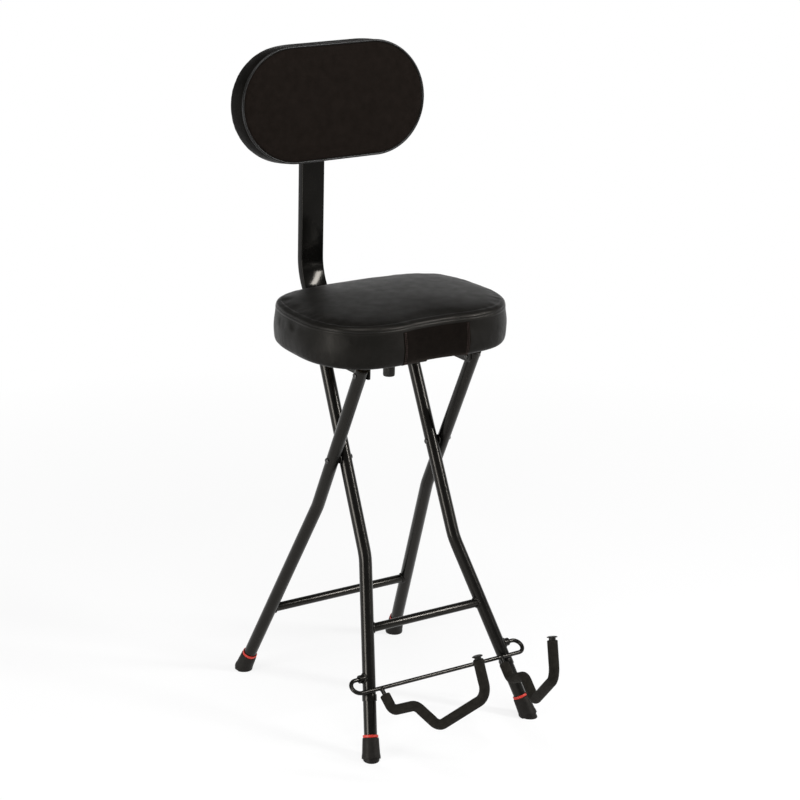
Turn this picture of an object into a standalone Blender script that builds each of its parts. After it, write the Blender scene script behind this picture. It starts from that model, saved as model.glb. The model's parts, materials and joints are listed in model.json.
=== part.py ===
# Folding guitar stool with a padded seat, a padded backrest on a bent post, two crossing leg frames
# and a swing-out cradle for a guitar. Metres, +Z up, -Y is the sitter's front, -X is the left.
import math

import bmesh
import bpy
from mathutils import Matrix, Vector

# Clearance left between pieces that touch, and how far a cutter runs past what it cuts
GAP = 0.0003
OVERRUN = 0.004
# Vertices nearer than this are one
MERGE = 0.000003
# Finest turn between two rings of a bend, and the angle from which an edge is drawn sharp
ARC_STEP = math.radians(13)
SHARP_ANGLE = math.radians(35)

# The stool's middle, between its feet, lies this far behind the origin,
# which is under the middle of its outline with the cradle folded out
MIDDLE_BACK = 0.06604

# Leg tubes, and the height where the two frames cross
TUBE_RADIUS = 0.0111
TUBE_WALL = 0.0012
TUBE_SIDES = 14
LEAN = math.radians(25)
CROSSING_HEIGHT = 0.4574
LEG_BEND_RADIUS = 0.12
FRONT_FOOT_HALF = 0.1636
FRONT_BEND_HEIGHT = 0.302
FRONT_CROSSING_HALF = 0.0889
FRONT_TAPER_SHARE = 0.015
REAR_FOOT_HALF = 0.1635
REAR_BEND_HEIGHT = 0.359

# Welded cross tubes
BAR_RADIUS = 0.0076
BAR_WALL = 0.0012
BAR_SIDES = 12
FRONT_BAR_HEIGHT = 0.1933
REAR_BAR_HEIGHT = 0.1364

# Rubber feet with a red ring above each, sizes along the leg from where its axis meets the floor
TUBE_END_RISE = 0.012
FOOT_TOP_RADIUS = 0.0139
FOOT_WAIST_RADIUS = 0.015
FOOT_RIM_RADIUS = 0.016
FOOT_SOLE_RADIUS = 0.0138
FOOT_HEIGHT = 0.0366
FOOT_LIP = 0.006
FOOT_RIM_HEIGHT = 0.002
FOOT_SIDES = 18
RING_RADIUS = 0.0131
RING_HEIGHT = 0.0047
TURNED_SIDES = 12

# Rivets at the crossing, washers between the tubes
RIVET_RADIUS = 0.0032
RIVET_HEAD_RADIUS = 0.005
RIVET_HEAD_HEIGHT = 0.003
RIVET_TAIL_HEIGHT = 0.0018
WASHER_RADIUS = 0.0085
WASHER_THICKNESS = 0.0019

# Heights from the crossing up: the seat's hinge, and its underside above that
SEAT_HINGE_RISE = 0.1726
SEAT_BASE_RISE = 0.022
# Below the seat's underside: the tubes' tops, the catch pins, the bar between the front tubes
FRONT_TOP_DROP = 0.02
REAR_TOP_DROP = 0.012
CATCH_DROP = 0.031
FRONT_TOP_BAR_DROP = 0.045

# Seat: cushion on a plywood board
SEAT_HALF_WIDTH = 0.187
SEAT_HALF_DEPTH = 0.133
SEAT_FORWARD = 0.006
SEAT_SIDE_HEIGHT = 0.0685
SEAT_CROWN = 0.0145
SEAT_BULGE = 0.006
BOARD_INSET = 0.012
BOARD_THICKNESS = 0.012
# Half of the seat's outline, front to back: shares of its half width and half depth
SEAT_OUTLINE_SHARES = (
    (0.0, -0.97), (0.2, -0.985), (0.42, -1.025), (0.69, -0.955), (0.885, -0.73),
    (0.985, -0.39), (0.995, 0.0), (0.97, 0.38), (0.88, 0.7), (0.66, 0.91), (0.33, 0.98), (0.0, 1.0))
OUTLINE_STEPS = 2
# Up the cushion's wall: share of the bulge outward, share of the wall's height
SEAT_WALL_SHARES = ((0.0, 0.035), (0.8, 0.15), (1.0, 0.4), (0.7, 0.75), (0.0, 1.0))
# Rings of a cushion's top, as shares of its outline, and how fast it rises to the crown
SEAT_TOP_SHARES = (0.95, 0.85, 0.65, 0.4, 0.15)
CROWN_POWER = 2.4

# Steel plates that carry the seat: a hinge ear in front, a hook over the catch pin behind
PLATE_THICKNESS = 0.003
EAR_FRONT = 0.0085
EAR_DROP = 0.009
EAR_CORNER = 0.003
HOOK_RADIUS = 0.014
HOOK_OPENING = math.radians(31)
HOOK_BACK = 0.004
FLANGE_WIDTH = 0.026
FLANGE_FRONT = 0.02
FLANGE_BACK = 0.02
PIN_RADIUS = 0.004
PIN_HEAD_RADIUS = 0.006
PIN_HEAD_HEIGHT = 0.002

# Wood screws
SCREW_RADIUS = 0.002
SCREW_HEAD_RADIUS = 0.0042
SCREW_HEAD_HEIGHT = 0.0024
SCREW_LENGTH = 0.0105
SCREW_SIDES = 8

# Backrest post: flat tube, level under the seat, bent up behind it
POST_WIDTH = 0.045
POST_DEPTH = 0.015
POST_WALL = 0.0015
POST_CORNER = 0.002
POST_BACK = 0.2625
POST_DROP = 0.013
POST_BEND_RADIUS = 0.1
POST_FRONT = 0.073
POST_TOP_RISE = 0.414
PLUG_RIM = 0.002
PLUG_DEPTH = 0.01

# Receiver that the post slides in, and its clamp knob
RECEIVER_FRONT = 0.045
RECEIVER_BACK = 0.095
RECEIVER_WALL = 0.0035
RECEIVER_FLOOR = 0.004
RECEIVER_EAR = 0.016
RECEIVER_EAR_THICKNESS = 0.003
RECEIVER_SCREW_BACK = 0.055
KNOB_BACK = 0.005
KNOB_RADIUS = 0.0102
KNOB_HEIGHT = 0.026
KNOB_BOTTOM_DROP = 0.064
KNOB_ROUND = 0.002
KNOB_SOCKET = 0.016
STUD_RADIUS = 0.004

# Backrest pad on its board, tilted back, and the bracket that joins it to the post
BACKREST_HALF_WIDTH = 0.181
BACKREST_HALF_HEIGHT = 0.0975
BACKREST_END_RADIUS = 0.102
BACKREST_END_STEPS = 14
BACKREST_THICKNESS = 0.044
BACKREST_FACE_ROUND = 0.006
# Near the face: share of the rounding inward, share of it down from the face, then the face's rings
BACKREST_EDGE_SHARES = (0.4, 0.3)
BACKREST_TOP_SHARES = (0.96, 0.85, 0.5)
BACKREST_RISE = 0.3693
BACKREST_TILT = math.radians(8)
BACKREST_STANDOFF = 0.0237
BACKREST_BOARD_INSET = 0.012
BACKREST_BOARD_THICKNESS = 0.009
BRACKET_HALF_HEIGHT = 0.04
BRACKET_WIDTH = 0.038
BRACKET_THICKNESS = 0.003
BOLT_RADIUS = 0.003
BOLT_HEAD_RADIUS = 0.0055
BOLT_HEAD_HEIGHT = 0.0032
BOLT_HALF_SPACING = 0.022
BOARD_SCREW_HALF_SPACING = 0.013
BOARD_SCREW_SHARE = 0.8

# Guitar cradle: a rod in front of the legs, its looped ends pivot in the legs
CRADLE_HINGE_HEIGHT = 0.122
ROD_RADIUS = 0.0036
ROD_SIDES = 8
ROD_HEIGHT = 0.1085
LOOP_REACH = 0.175
LOOP_STEPS = 9
BUSH_RADIUS = 0.007
BUSH_LENGTH = 0.009
COLLAR_WALL = 0.0013
COLLAR_LENGTH = 0.0105
COLLAR_DROP = 0.0075
ARM_HALF_WIDTH = 0.124
ARM_REACH = 0.2225
ARM_RISE = 0.1245
ARM_BEND_RADIUS = 0.02
# Corners of an arm: shares of its reach, half width and rise, and of the bend radius there
ARM_CORNER_SHARES = (
    (0.148, 0.98, -0.227, 0.75), (0.382, 0.9, 0.0, 1.1), (0.6, 0.79, -0.175, 1.0),
    (1.0, 0.552, 0.492, 1.6))
ARM_TIP_SHARES = (0.908, 0.605, 1.0)
FOAM_RADIUS = 0.0088
FOAM_START = 0.011
FOAM_END = 0.006
FOAM_SIDES = 10
CAP_RADIUS = 0.009
CAP_THICKNESS = 0.002
CAP_NECK_RADIUS = 0.0058

# Finishes: colour, metallic, roughness
FINISHES = {
    "powder_coat": ((0.012, 0.012, 0.012), 0.0, 0.28),
    "black_steel": ((0.02, 0.02, 0.02), 0.6, 0.4),
    "vinyl": ((0.017, 0.016, 0.015), 0.0, 0.45),
    "suede": ((0.012, 0.01, 0.009), 0.0, 0.9),
    "plywood": ((0.42, 0.29, 0.17), 0.0, 0.7),
    "black_plastic": ((0.015, 0.015, 0.015), 0.0, 0.4),
    "black_rubber": ((0.013, 0.013, 0.013), 0.0, 0.7),
    "red_rubber": ((0.42, 0.02, 0.015), 0.0, 0.5),
    "foam": ((0.017, 0.016, 0.014), 0.0, 0.9),
}

SIDES = (("left", -1), ("right", 1))

# Heights that follow from those above
SEAT_HINGE_HEIGHT = CROSSING_HEIGHT + SEAT_HINGE_RISE
SEAT_BASE = SEAT_HINGE_HEIGHT + SEAT_BASE_RISE
FRONT_TOP_HEIGHT = SEAT_BASE - FRONT_TOP_DROP
REAR_TOP_HEIGHT = SEAT_BASE - REAR_TOP_DROP
CATCH_HEIGHT = SEAT_BASE - CATCH_DROP
FRONT_TOP_BAR_HEIGHT = SEAT_BASE - FRONT_TOP_BAR_DROP
BACKREST_HEIGHT = SEAT_BASE + BACKREST_RISE
POST_TOP_HEIGHT = SEAT_BASE + POST_TOP_RISE

for old in list(bpy.data.objects):
    bpy.data.objects.remove(old, do_unlink=True)


def on_frame(lean, half, height):
    """Point on a leg frame's leaning plane, from the stool's middle; lean is +1 for the front legs."""
    return Vector((half, lean * (height - CROSSING_HEIGHT) * math.tan(LEAN), height))


def front_half(height):
    """Half width of the front frame's tube axes above their bends."""
    return FRONT_CROSSING_HALF - FRONT_TAPER_SHARE * (height - CROSSING_HEIGHT)


# Places that several pieces share, from the stool's middle
REAR_HALF = FRONT_CROSSING_HALF + 2 * TUBE_RADIUS + WASHER_THICKNESS + 2 * GAP
SEAT_HINGE = on_frame(-1, 0, SEAT_HINGE_HEIGHT)
CATCH = on_frame(1, 0, CATCH_HEIGHT)
CRADLE_HINGE = on_frame(1, 0, CRADLE_HINGE_HEIGHT)
POST_LEVEL = SEAT_BASE - POST_DROP
PLATE_OUTER = REAR_HALF - TUBE_RADIUS - GAP
BACKREST_BACK = POST_BACK - POST_DEPTH / 2 - BACKREST_STANDOFF

# The moving bodies, each an empty on its joint's axis, under one at the stool's middle
BODIES = {
    "rear_frame": Vector((0, 0, 0)),
    "front_frame": on_frame(1, 0, CROSSING_HEIGHT),
    "seat": SEAT_HINGE,
    "knob": Vector((0, KNOB_BACK, SEAT_BASE - KNOB_BOTTOM_DROP)),
    "backrest": Vector((0, POST_BACK, POST_LEVEL)),
    "cradle": CRADLE_HINGE,
}
BODY_PARENTS = {
    "front_frame": "rear_frame", "seat": "rear_frame", "knob": "seat", "backrest": "seat",
    "cradle": "front_frame"}
axes = {}


def make_axes():
    """One empty for each moving body, parented as the joints chain them."""
    for name, place in BODIES.items():
        empty = bpy.data.objects.new(name + "_axis", None)
        bpy.context.collection.objects.link(empty)
        parent = BODY_PARENTS.get(name)
        if parent:
            empty.parent = axes[parent]
            empty.location = place - BODIES[parent]
        else:
            empty.location = place + Vector((0, MIDDLE_BACK, 0))
        axes[name] = empty


def add_object(name, mesh, body, finish, place=(0, 0, 0), turn=None):
    """Link a mesh as a named piece of a body, with a material of its own."""
    obj = bpy.data.objects.new(name, mesh)
    bpy.context.collection.objects.link(obj)
    obj.parent = axes[body]
    obj.location = Vector(place) - BODIES[body]
    if turn is not None:
        obj.rotation_mode = "QUATERNION"
        obj.rotation_quaternion = turn
    if finish is None:
        obj.hide_render = True
        obj.display_type = "WIRE"
        return obj
    colour, metallic, roughness = FINISHES[finish]
    material = bpy.data.materials.new(name + "_" + finish)
    material.use_nodes = True
    shader = material.node_tree.nodes["Principled BSDF"]
    shader.inputs["Base Color"].default_value = (*colour, 1)
    shader.inputs["Metallic"].default_value = metallic
    shader.inputs["Roughness"].default_value = roughness
    mesh.materials.clear()
    mesh.materials.append(material)
    mesh.shade_smooth()
    mesh.set_sharp_from_angle(angle=SHARP_ANGLE)
    return obj


def finish_mesh(bm, name):
    """Merge doubles, point the faces outward and hand back a mesh."""
    bmesh.ops.remove_doubles(bm, verts=bm.verts, dist=MERGE)
    bmesh.ops.recalc_face_normals(bm, faces=bm.faces)
    mesh = bpy.data.meshes.new(name)
    bm.to_mesh(mesh)
    bm.free()
    return mesh


def rounded_path(corners, radii):
    """Points along straight runs joined by arcs of the given radii at the inner corners."""
    path = [corners[0]]
    for before, corner, after, radius in zip(corners, corners[1:], corners[2:], radii):
        into = (corner - before).normalized()
        out = (after - corner).normalized()
        turn = into.angle(out)
        reach = radius * math.tan(turn / 2)
        start = corner - into * reach
        axis = into.cross(out).normalized()
        centre = start + axis.cross(into) * radius
        steps = max(2, math.ceil(turn / ARC_STEP))
        for step in range(steps + 1):
            spoke = Matrix.Rotation(turn * step / steps, 3, axis) @ (start - centre)
            path.append(centre + spoke)
    path.append(corners[-1])
    return path


def trimmed(path, start, end):
    """The path without its first and last stretches, measured along it."""
    for cut in (start, end):
        left = cut
        while (path[1] - path[0]).length <= left:
            left -= (path[1] - path[0]).length
            path = path[1:]
        path = [path[0] + (path[1] - path[0]).normalized() * left] + path[1:]
        path = path[::-1]
    return path


def rod_mesh(name, path, radius, sides, capped=True):
    """A round bar along a path, from a bevelled curve."""
    curve = bpy.data.curves.new(name, "CURVE")
    curve.dimensions = "3D"
    curve.bevel_depth = radius
    curve.bevel_resolution = sides // 2 - 2
    curve.use_fill_caps = capped
    spline = curve.splines.new("POLY")
    spline.points.add(len(path) - 1)
    for point, place in zip(spline.points, path):
        point.co = (*place, 1)
    guide = bpy.data.objects.new(name, curve)
    bpy.context.collection.objects.link(guide)
    graph = bpy.context.evaluated_depsgraph_get()
    mesh = bpy.data.meshes.new_from_object(guide.evaluated_get(graph))
    bpy.data.objects.remove(guide, do_unlink=True)
    bm = bmesh.new()
    bm.from_mesh(mesh)
    bpy.data.meshes.remove(mesh)
    return finish_mesh(bm, name)


def tube(name, body, path, radius, wall, sides, finish):
    """A hollow tube along a path, open at its ends."""
    obj = add_object(name, rod_mesh(name, path, radius, sides, capped=False), body, finish)
    shell = obj.modifiers.new("wall", "SOLIDIFY")
    shell.thickness = wall
    shell.offset = -1
    shell.use_even_offset = True
    return obj


def turned_mesh(name, profile, sides=TURNED_SIDES):
    """A turned shape about Z: profile points are (radius, height), closed unless it meets the axis."""
    bm = bmesh.new()
    ring = [bm.verts.new((radius, 0, height)) for radius, height in profile]
    edges = [bm.edges.new(pair) for pair in zip(ring, ring[1:])]
    if profile[0][0] > 0:
        edges.append(bm.edges.new((ring[-1], ring[0])))
    bmesh.ops.spin(
        bm, geom=ring + edges, cent=(0, 0, 0), axis=(0, 0, 1), angle=2 * math.pi, steps=sides)
    return finish_mesh(bm, name)


def along(direction):
    """Rotation that carries +Z to a direction."""
    return Vector(direction).to_track_quat("Z", "Y")


def plate_mesh(name, outline, thickness):
    """A flat outline in XY given a thickness up from Z = 0."""
    bm = bmesh.new()
    face = bm.faces.new([bm.verts.new((x, y, 0)) for x, y in outline])
    lifted = bmesh.ops.extrude_face_region(bm, geom=[face])
    verts = [item for item in lifted["geom"] if isinstance(item, bmesh.types.BMVert)]
    bmesh.ops.translate(bm, verts=verts, vec=(0, 0, thickness))
    return finish_mesh(bm, name)


def block_mesh(name, low, high):
    """A box between two corners."""
    bm = bmesh.new()
    bmesh.ops.create_cube(bm, size=1)
    size = Vector(high) - Vector(low)
    bmesh.ops.scale(bm, verts=bm.verts, vec=size)
    bmesh.ops.translate(bm, verts=bm.verts, vec=Vector(low) + size / 2)
    return finish_mesh(bm, name)


def combine(target, other, operation):
    """Cut another object from a piece, or join it on."""
    modifier = target.modifiers.new(other.name, "BOOLEAN")
    modifier.operation = operation
    modifier.object = other
    modifier.solver = "EXACT"


def drill(target, body, holes, sides=TURNED_SIDES):
    """Round holes, each (start, end, radius), cut by one object made of separate cylinders."""
    bm = bmesh.new()
    for start, end, radius in holes:
        start, end = Vector(start), Vector(end)
        middle = Matrix.Translation((start + end) / 2)
        turn = along(end - start).to_matrix().to_4x4()
        bmesh.ops.create_cone(
            bm, cap_ends=True, segments=sides, radius1=radius, radius2=radius,
            depth=(end - start).length, matrix=middle @ turn)
    name = target.name + "_holes"
    combine(target, add_object(name, finish_mesh(bm, name), body, None), "DIFFERENCE")


def arc(centre, radius, start, end, steps):
    """Points on an arc, angles in radians."""
    angles = [start + (end - start) * step / steps for step in range(steps + 1)]
    return [(centre[0] + radius * math.cos(a), centre[1] + radius * math.sin(a)) for a in angles]


def rounded_rectangle(width, depth, corner, steps=2):
    """Outline of a rectangle with rounded corners."""
    points = []
    for index, (x, y) in enumerate(((1, 1), (-1, 1), (-1, -1), (1, -1))):
        centre = (x * (width / 2 - corner), y * (depth / 2 - corner))
        points += arc(centre, corner, index * math.pi / 2, (index + 1) * math.pi / 2, steps)
    return points


def smooth_outline(points, steps):
    """A closed smooth curve through points, each span cut into steps."""
    count = len(points)
    spots = [Vector(point) for point in points]
    outline = []
    for index in range(count):
        before, start = spots[index - 1], spots[index]
        end, after = spots[(index + 1) % count], spots[(index + 2) % count]
        for step in range(steps):
            t = step / steps
            pull = (end - before) * t + (2 * before - 5 * start + 4 * end - after) * t * t
            pull += (3 * start - before - 3 * end + after) * t * t * t
            outline.append(start + pull / 2)
    return outline


def inset_outline(outline, distance):
    """The outline moved inward by a distance."""
    moved = []
    for index, point in enumerate(outline):
        tangent = (outline[(index + 1) % len(outline)] - outline[index - 1]).normalized()
        moved.append(point + Vector((-tangent.y, tangent.x)) * distance)
    return moved


def cushion_mesh(name, outline, rings, crown, crown_height):
    """Padded shape: rings are (inset, height) up the wall, then the top rises to its crown."""
    centre = sum(outline, Vector((0, 0))) / len(outline)
    loops = [(inset_outline(outline, inset), [height] * len(outline)) for inset, height in rings]
    top, top_height = loops[-1][0], rings[-1][1]
    for share in crown:
        rise = crown_height * (1 - share ** CROWN_POWER)
        points = [centre + (point - centre) * share for point in top]
        loops.append((points, [top_height + rise] * len(top)))
    bm = bmesh.new()
    previous = None
    for points, heights in loops:
        verts = [bm.verts.new((*point, height)) for point, height in zip(points, heights)]
        if previous:
            for i in range(len(verts)):
                bm.faces.new((previous[i - 1], previous[i], verts[i], verts[i - 1]))
        else:
            bm.faces.new(verts)
        previous = verts
    peak = bm.verts.new((*centre, top_height + crown_height))
    for i in range(len(previous)):
        bm.faces.new((previous[i - 1], previous[i], peak))
    return finish_mesh(bm, name)


def leg_path(lean, side, foot_half, bend, bend_height, top_half, top_height):
    """Leg tube's centre line: splayed below its bend, almost straight up its frame above it."""
    foot = on_frame(lean, side * foot_half, 0)
    corner = on_frame(lean, side * bend, bend_height)
    rise = (corner - foot).normalized()
    corners = [foot + rise * TUBE_END_RISE, corner, on_frame(lean, side * top_half, top_height)]
    return foot, rise, rounded_path(corners, [LEG_BEND_RADIUS])


def foot_and_ring(prefix, label, body, foot, rise):
    """Rubber foot on a narrower sole cut level with the floor, and the red ring above it."""
    bore = TUBE_RADIUS + GAP
    profile = [
        (0, -FOOT_HEIGHT), (FOOT_SOLE_RADIUS, -FOOT_HEIGHT), (FOOT_SOLE_RADIUS, FOOT_RIM_HEIGHT),
        (FOOT_RIM_RADIUS, FOOT_RIM_HEIGHT), (FOOT_RIM_RADIUS, FOOT_LIP),
        (FOOT_WAIST_RADIUS, 2 * FOOT_LIP), (FOOT_TOP_RADIUS, FOOT_HEIGHT), (bore, FOOT_HEIGHT),
        (bore, TUBE_END_RISE - GAP), (0, TUBE_END_RISE - GAP)]
    mesh = turned_mesh(prefix + "_foot_" + label, profile, FOOT_SIDES)
    bm = bmesh.new()
    bm.from_mesh(mesh)
    bm.transform(along(rise).to_matrix().to_4x4())
    cut = bmesh.ops.bisect_plane(
        bm, geom=bm.verts[:] + bm.edges[:] + bm.faces[:], plane_co=(0, 0, 0), plane_no=(0, 0, 1),
        clear_inner=True)
    rim = [item for item in cut["geom_cut"] if isinstance(item, bmesh.types.BMEdge)]
    bmesh.ops.holes_fill(bm, edges=rim, sides=0)
    bmesh.ops.recalc_face_normals(bm, faces=bm.faces)
    bm.to_mesh(mesh)
    bm.free()
    add_object(prefix + "_foot_" + label, mesh, body, "black_rubber", foot)
    ring = [
        (RING_RADIUS, 0), (RING_RADIUS, RING_HEIGHT), (bore, RING_HEIGHT), (bore, 0)]
    name = prefix + "_ring_" + label
    add_object(
        name, turned_mesh(name, ring, FOOT_SIDES), body, "red_rubber",
        foot + rise * (FOOT_HEIGHT + GAP), along(rise))


def cope_with_tube(target, body, foot, bend):
    """Cut a piece's end to the round side of a leg's lower run, with the usual gap."""
    run = (bend - foot).normalized()
    path = [foot + run * TUBE_RADIUS, bend]
    name = target.name + "_cope_" + ("right" if foot.x > 0 else "left")
    mesh = rod_mesh(name, path, TUBE_RADIUS + GAP, TUBE_SIDES)
    combine(target, add_object(name, mesh, body, None), "DIFFERENCE")


def rivet_mesh(name, grip, radius, head_radius, head_height, tail_height):
    """Round-headed rivet about Z: head above z = 0, shank and tail below, grip is what it holds."""
    edge = head_height / 3
    tail = -grip - 2 * GAP - tail_height
    profile = [
        (0, head_height), (head_radius / 2, head_height), (head_radius, edge), (head_radius, 0),
        (radius, 0), (radius, -grip - 2 * GAP), (head_radius, -grip - 2 * GAP),
        (head_radius, tail + edge), (head_radius / 2, tail), (0, tail)]
    return turned_mesh(name, profile)


def build_legs():
    """Both leg frames: four bent tubes, their feet, rings, crossbars, rivets and washers."""
    front_bend = front_half(FRONT_BEND_HEIGHT)
    front_top = front_half(FRONT_TOP_HEIGHT)
    front = (1, FRONT_FOOT_HALF, front_bend, FRONT_BEND_HEIGHT, front_top, FRONT_TOP_HEIGHT)
    rear = (-1, REAR_FOOT_HALF, REAR_HALF, REAR_BEND_HEIGHT, REAR_HALF, REAR_TOP_HEIGHT)
    frames = {"front": ("front_frame", front), "rear": ("rear_frame", rear)}
    lower = {}
    for prefix, (body, (lean, foot_half, bend, bend_height, top_half, top_height)) in frames.items():
        for label, side in SIDES:
            foot, rise, path = leg_path(lean, side, foot_half, bend, bend_height, top_half, top_height)
            name = prefix + "_leg_" + label
            leg = tube(name, body, path, TUBE_RADIUS, TUBE_WALL, TUBE_SIDES, "powder_coat")
            foot_and_ring(prefix, label, body, foot, rise)
            lower[prefix, label] = (foot, on_frame(lean, side * bend, bend_height))
            middle = REAR_HALF if prefix == "rear" else FRONT_CROSSING_HALF
            reach = TUBE_RADIUS + OVERRUN
            inner, outer = side * (middle - reach), side * (middle + reach)
            holes = [((inner, 0, CROSSING_HEIGHT), (outer, 0, CROSSING_HEIGHT), RIVET_RADIUS + GAP)]
            if prefix == "rear":
                holes.append(((inner, *SEAT_HINGE.yz), (outer, *SEAT_HINGE.yz), RIVET_RADIUS + GAP))
            else:
                top = front_half(CATCH_HEIGHT)
                holes.append((
                    (side * (top - reach), *CATCH.yz), (side * (top + reach), *CATCH.yz), PIN_RADIUS + GAP))
                wire = on_frame(1, FRONT_FOOT_HALF, 0).lerp(
                    on_frame(1, front_bend, FRONT_BEND_HEIGHT), CRADLE_HINGE_HEIGHT / FRONT_BEND_HEIGHT).x
                holes.append((
                    (side * wire, *CRADLE_HINGE.yz), (side * (wire + reach), *CRADLE_HINGE.yz),
                    ROD_RADIUS + GAP))
            drill(leg, body, holes)
    for name, prefix, body, lean, height in (
            ("front_crossbar", "front", "front_frame", 1, FRONT_BAR_HEIGHT),
            ("rear_crossbar", "rear", "rear_frame", -1, REAR_BAR_HEIGHT)):
        ends = []
        for label, side in SIDES:
            foot, bend = lower[prefix, label]
            ends.append(foot.lerp(bend, height / bend.z))
        bar = tube(name, body, ends, BAR_RADIUS, BAR_WALL, BAR_SIDES, "powder_coat")
        for label, side in SIDES:
            cope_with_tube(bar, body, *lower[prefix, label])
    bar_half = front_half(FRONT_TOP_BAR_HEIGHT)
    ends = [on_frame(1, side * bar_half, FRONT_TOP_BAR_HEIGHT) for label, side in SIDES]
    bar = tube("front_top_bar", "front_frame", ends, BAR_RADIUS, BAR_WALL, BAR_SIDES, "powder_coat")
    for label, side in SIDES:
        bend = on_frame(1, side * front_bend, FRONT_BEND_HEIGHT)
        cope_with_tube(bar, "front_frame", bend, on_frame(1, side * front_top, FRONT_TOP_HEIGHT))
    return lower


def build_crossing():
    """Rivets where the frames cross, with a washer between the tubes."""
    grip = REAR_HALF - FRONT_CROSSING_HALF + 2 * TUBE_RADIUS
    for label, side in SIDES:
        outside = Vector((side * (REAR_HALF + TUBE_RADIUS + GAP), 0, CROSSING_HEIGHT))
        name = "crossing_rivet_" + label
        mesh = rivet_mesh(
            name, grip, RIVET_RADIUS, RIVET_HEAD_RADIUS, RIVET_HEAD_HEIGHT, RIVET_TAIL_HEIGHT)
        add_object(name, mesh, "rear_frame", "black_steel", outside, along((side, 0, 0)))
        name = "crossing_washer_" + label
        bore = RIVET_RADIUS + GAP
        profile = [
            (WASHER_RADIUS, 0), (WASHER_RADIUS, WASHER_THICKNESS), (bore, WASHER_THICKNESS), (bore, 0)]
        place = Vector((side * (FRONT_CROSSING_HALF + TUBE_RADIUS + GAP), 0, CROSSING_HEIGHT))
        add_object(
            name, turned_mesh(name, profile), "rear_frame", "black_plastic", place, along((side, 0, 0)))


def seat_outline():
    """The seat's seam outline, counter-clockwise, from the stool's middle."""
    half = [(x * SEAT_HALF_WIDTH, SEAT_FORWARD + y * SEAT_HALF_DEPTH) for x, y in SEAT_OUTLINE_SHARES]
    mirrored = [(-x, y) for x, y in half[-2:0:-1]]
    return smooth_outline(half + mirrored, OUTLINE_STEPS)


def build_seat():
    """Cushion wrapped round its board, with the board's screw holes."""
    outline = seat_outline()
    pocket = BOARD_THICKNESS + GAP
    rings = [(BOARD_INSET - GAP, pocket), (BOARD_INSET - GAP, 0), (SEAT_BULGE, 0)]
    rings += [(-SEAT_BULGE * out, SEAT_SIDE_HEIGHT * up) for out, up in SEAT_WALL_SHARES]
    mesh = cushion_mesh("seat_cushion", outline, rings, SEAT_TOP_SHARES, SEAT_CROWN)
    add_object("seat_cushion", mesh, "seat", "vinyl", (0, 0, SEAT_BASE))
    mesh = plate_mesh("seat_board", inset_outline(outline, BOARD_INSET), BOARD_THICKNESS)
    board = add_object("seat_board", mesh, "seat", "plywood", (0, 0, SEAT_BASE))
    holes = []
    for x, y in screw_places().values():
        top = SEAT_BASE + SCREW_LENGTH - PLATE_THICKNESS + 2 * GAP
        holes.append(((x, y, SEAT_BASE - OVERRUN), (x, y, top), SCREW_RADIUS + GAP))
    drill(board, "seat", holes, SCREW_SIDES)


def screw_places():
    """Where the screws go up into the seat board."""
    flange_x = PLATE_OUTER - PLATE_THICKNESS - (FLANGE_WIDTH - PLATE_THICKNESS) / 2
    ear_x = POST_WIDTH / 2 + RECEIVER_WALL + RECEIVER_EAR / 2
    places = {}
    for label, side in SIDES:
        places["plate_screw_front_" + label] = (side * flange_x, SEAT_HINGE.y + 2 * FLANGE_FRONT)
        places["plate_screw_back_" + label] = (side * flange_x, CATCH.y - 2 * FLANGE_BACK)
        places["receiver_screw_" + label] = (side * ear_x, RECEIVER_SCREW_BACK)
    return places


def build_screws():
    """Pan-head wood screws, upside down under the flanges."""
    for name, (x, y) in screw_places().items():
        thickness = RECEIVER_EAR_THICKNESS if name.startswith("receiver") else PLATE_THICKNESS
        profile = [
            (0, -SCREW_HEAD_HEIGHT), (SCREW_HEAD_RADIUS / 2, -SCREW_HEAD_HEIGHT),
            (SCREW_HEAD_RADIUS, -SCREW_HEAD_HEIGHT / 2), (SCREW_HEAD_RADIUS, 0), (SCREW_RADIUS, 0),
            (SCREW_RADIUS, SCREW_LENGTH), (0, SCREW_LENGTH)]
        place = (x, y, SEAT_BASE - 2 * GAP - thickness)
        add_object(name, turned_mesh(name, profile, SCREW_SIDES), "seat", "black_steel", place)


def seat_plate_outline():
    """Side view of a seat plate in (y, z): ear at the hinge, lower edge, hook, upper edge."""
    top = SEAT_BASE - GAP
    low = SEAT_HINGE.z - EAR_DROP
    front = SEAT_HINGE.y - EAR_FRONT
    slot = PIN_RADIUS + 2 * GAP
    down = Vector((-math.sin(HOOK_OPENING), -math.cos(HOOK_OPENING)))
    ahead = Vector((-math.cos(HOOK_OPENING), math.sin(HOOK_OPENING)))
    pin = Vector(CATCH.yz)
    slot_front = pin + ahead * slot
    slot_front += down * (slot_front.y - low) / -down.y
    slot_length = math.sqrt(HOOK_RADIUS ** 2 - slot ** 2)
    tip = pin - ahead * slot + down * slot_length
    ahead_angle = math.atan2(ahead.y, ahead.x)
    tip_angle = math.atan2(tip.y - pin.y, tip.x - pin.x)
    points = [(front, top)]
    points += arc((front + EAR_CORNER, low + EAR_CORNER), EAR_CORNER, math.pi, 1.5 * math.pi, 3)
    points.append(tuple(slot_front))
    points += arc(tuple(pin), slot, ahead_angle, ahead_angle - math.pi, 6)
    points += arc(tuple(pin), HOOK_RADIUS, tip_angle, 0, 6)
    points.append((pin.x + HOOK_RADIUS + HOOK_BACK, top))
    return points


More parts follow.
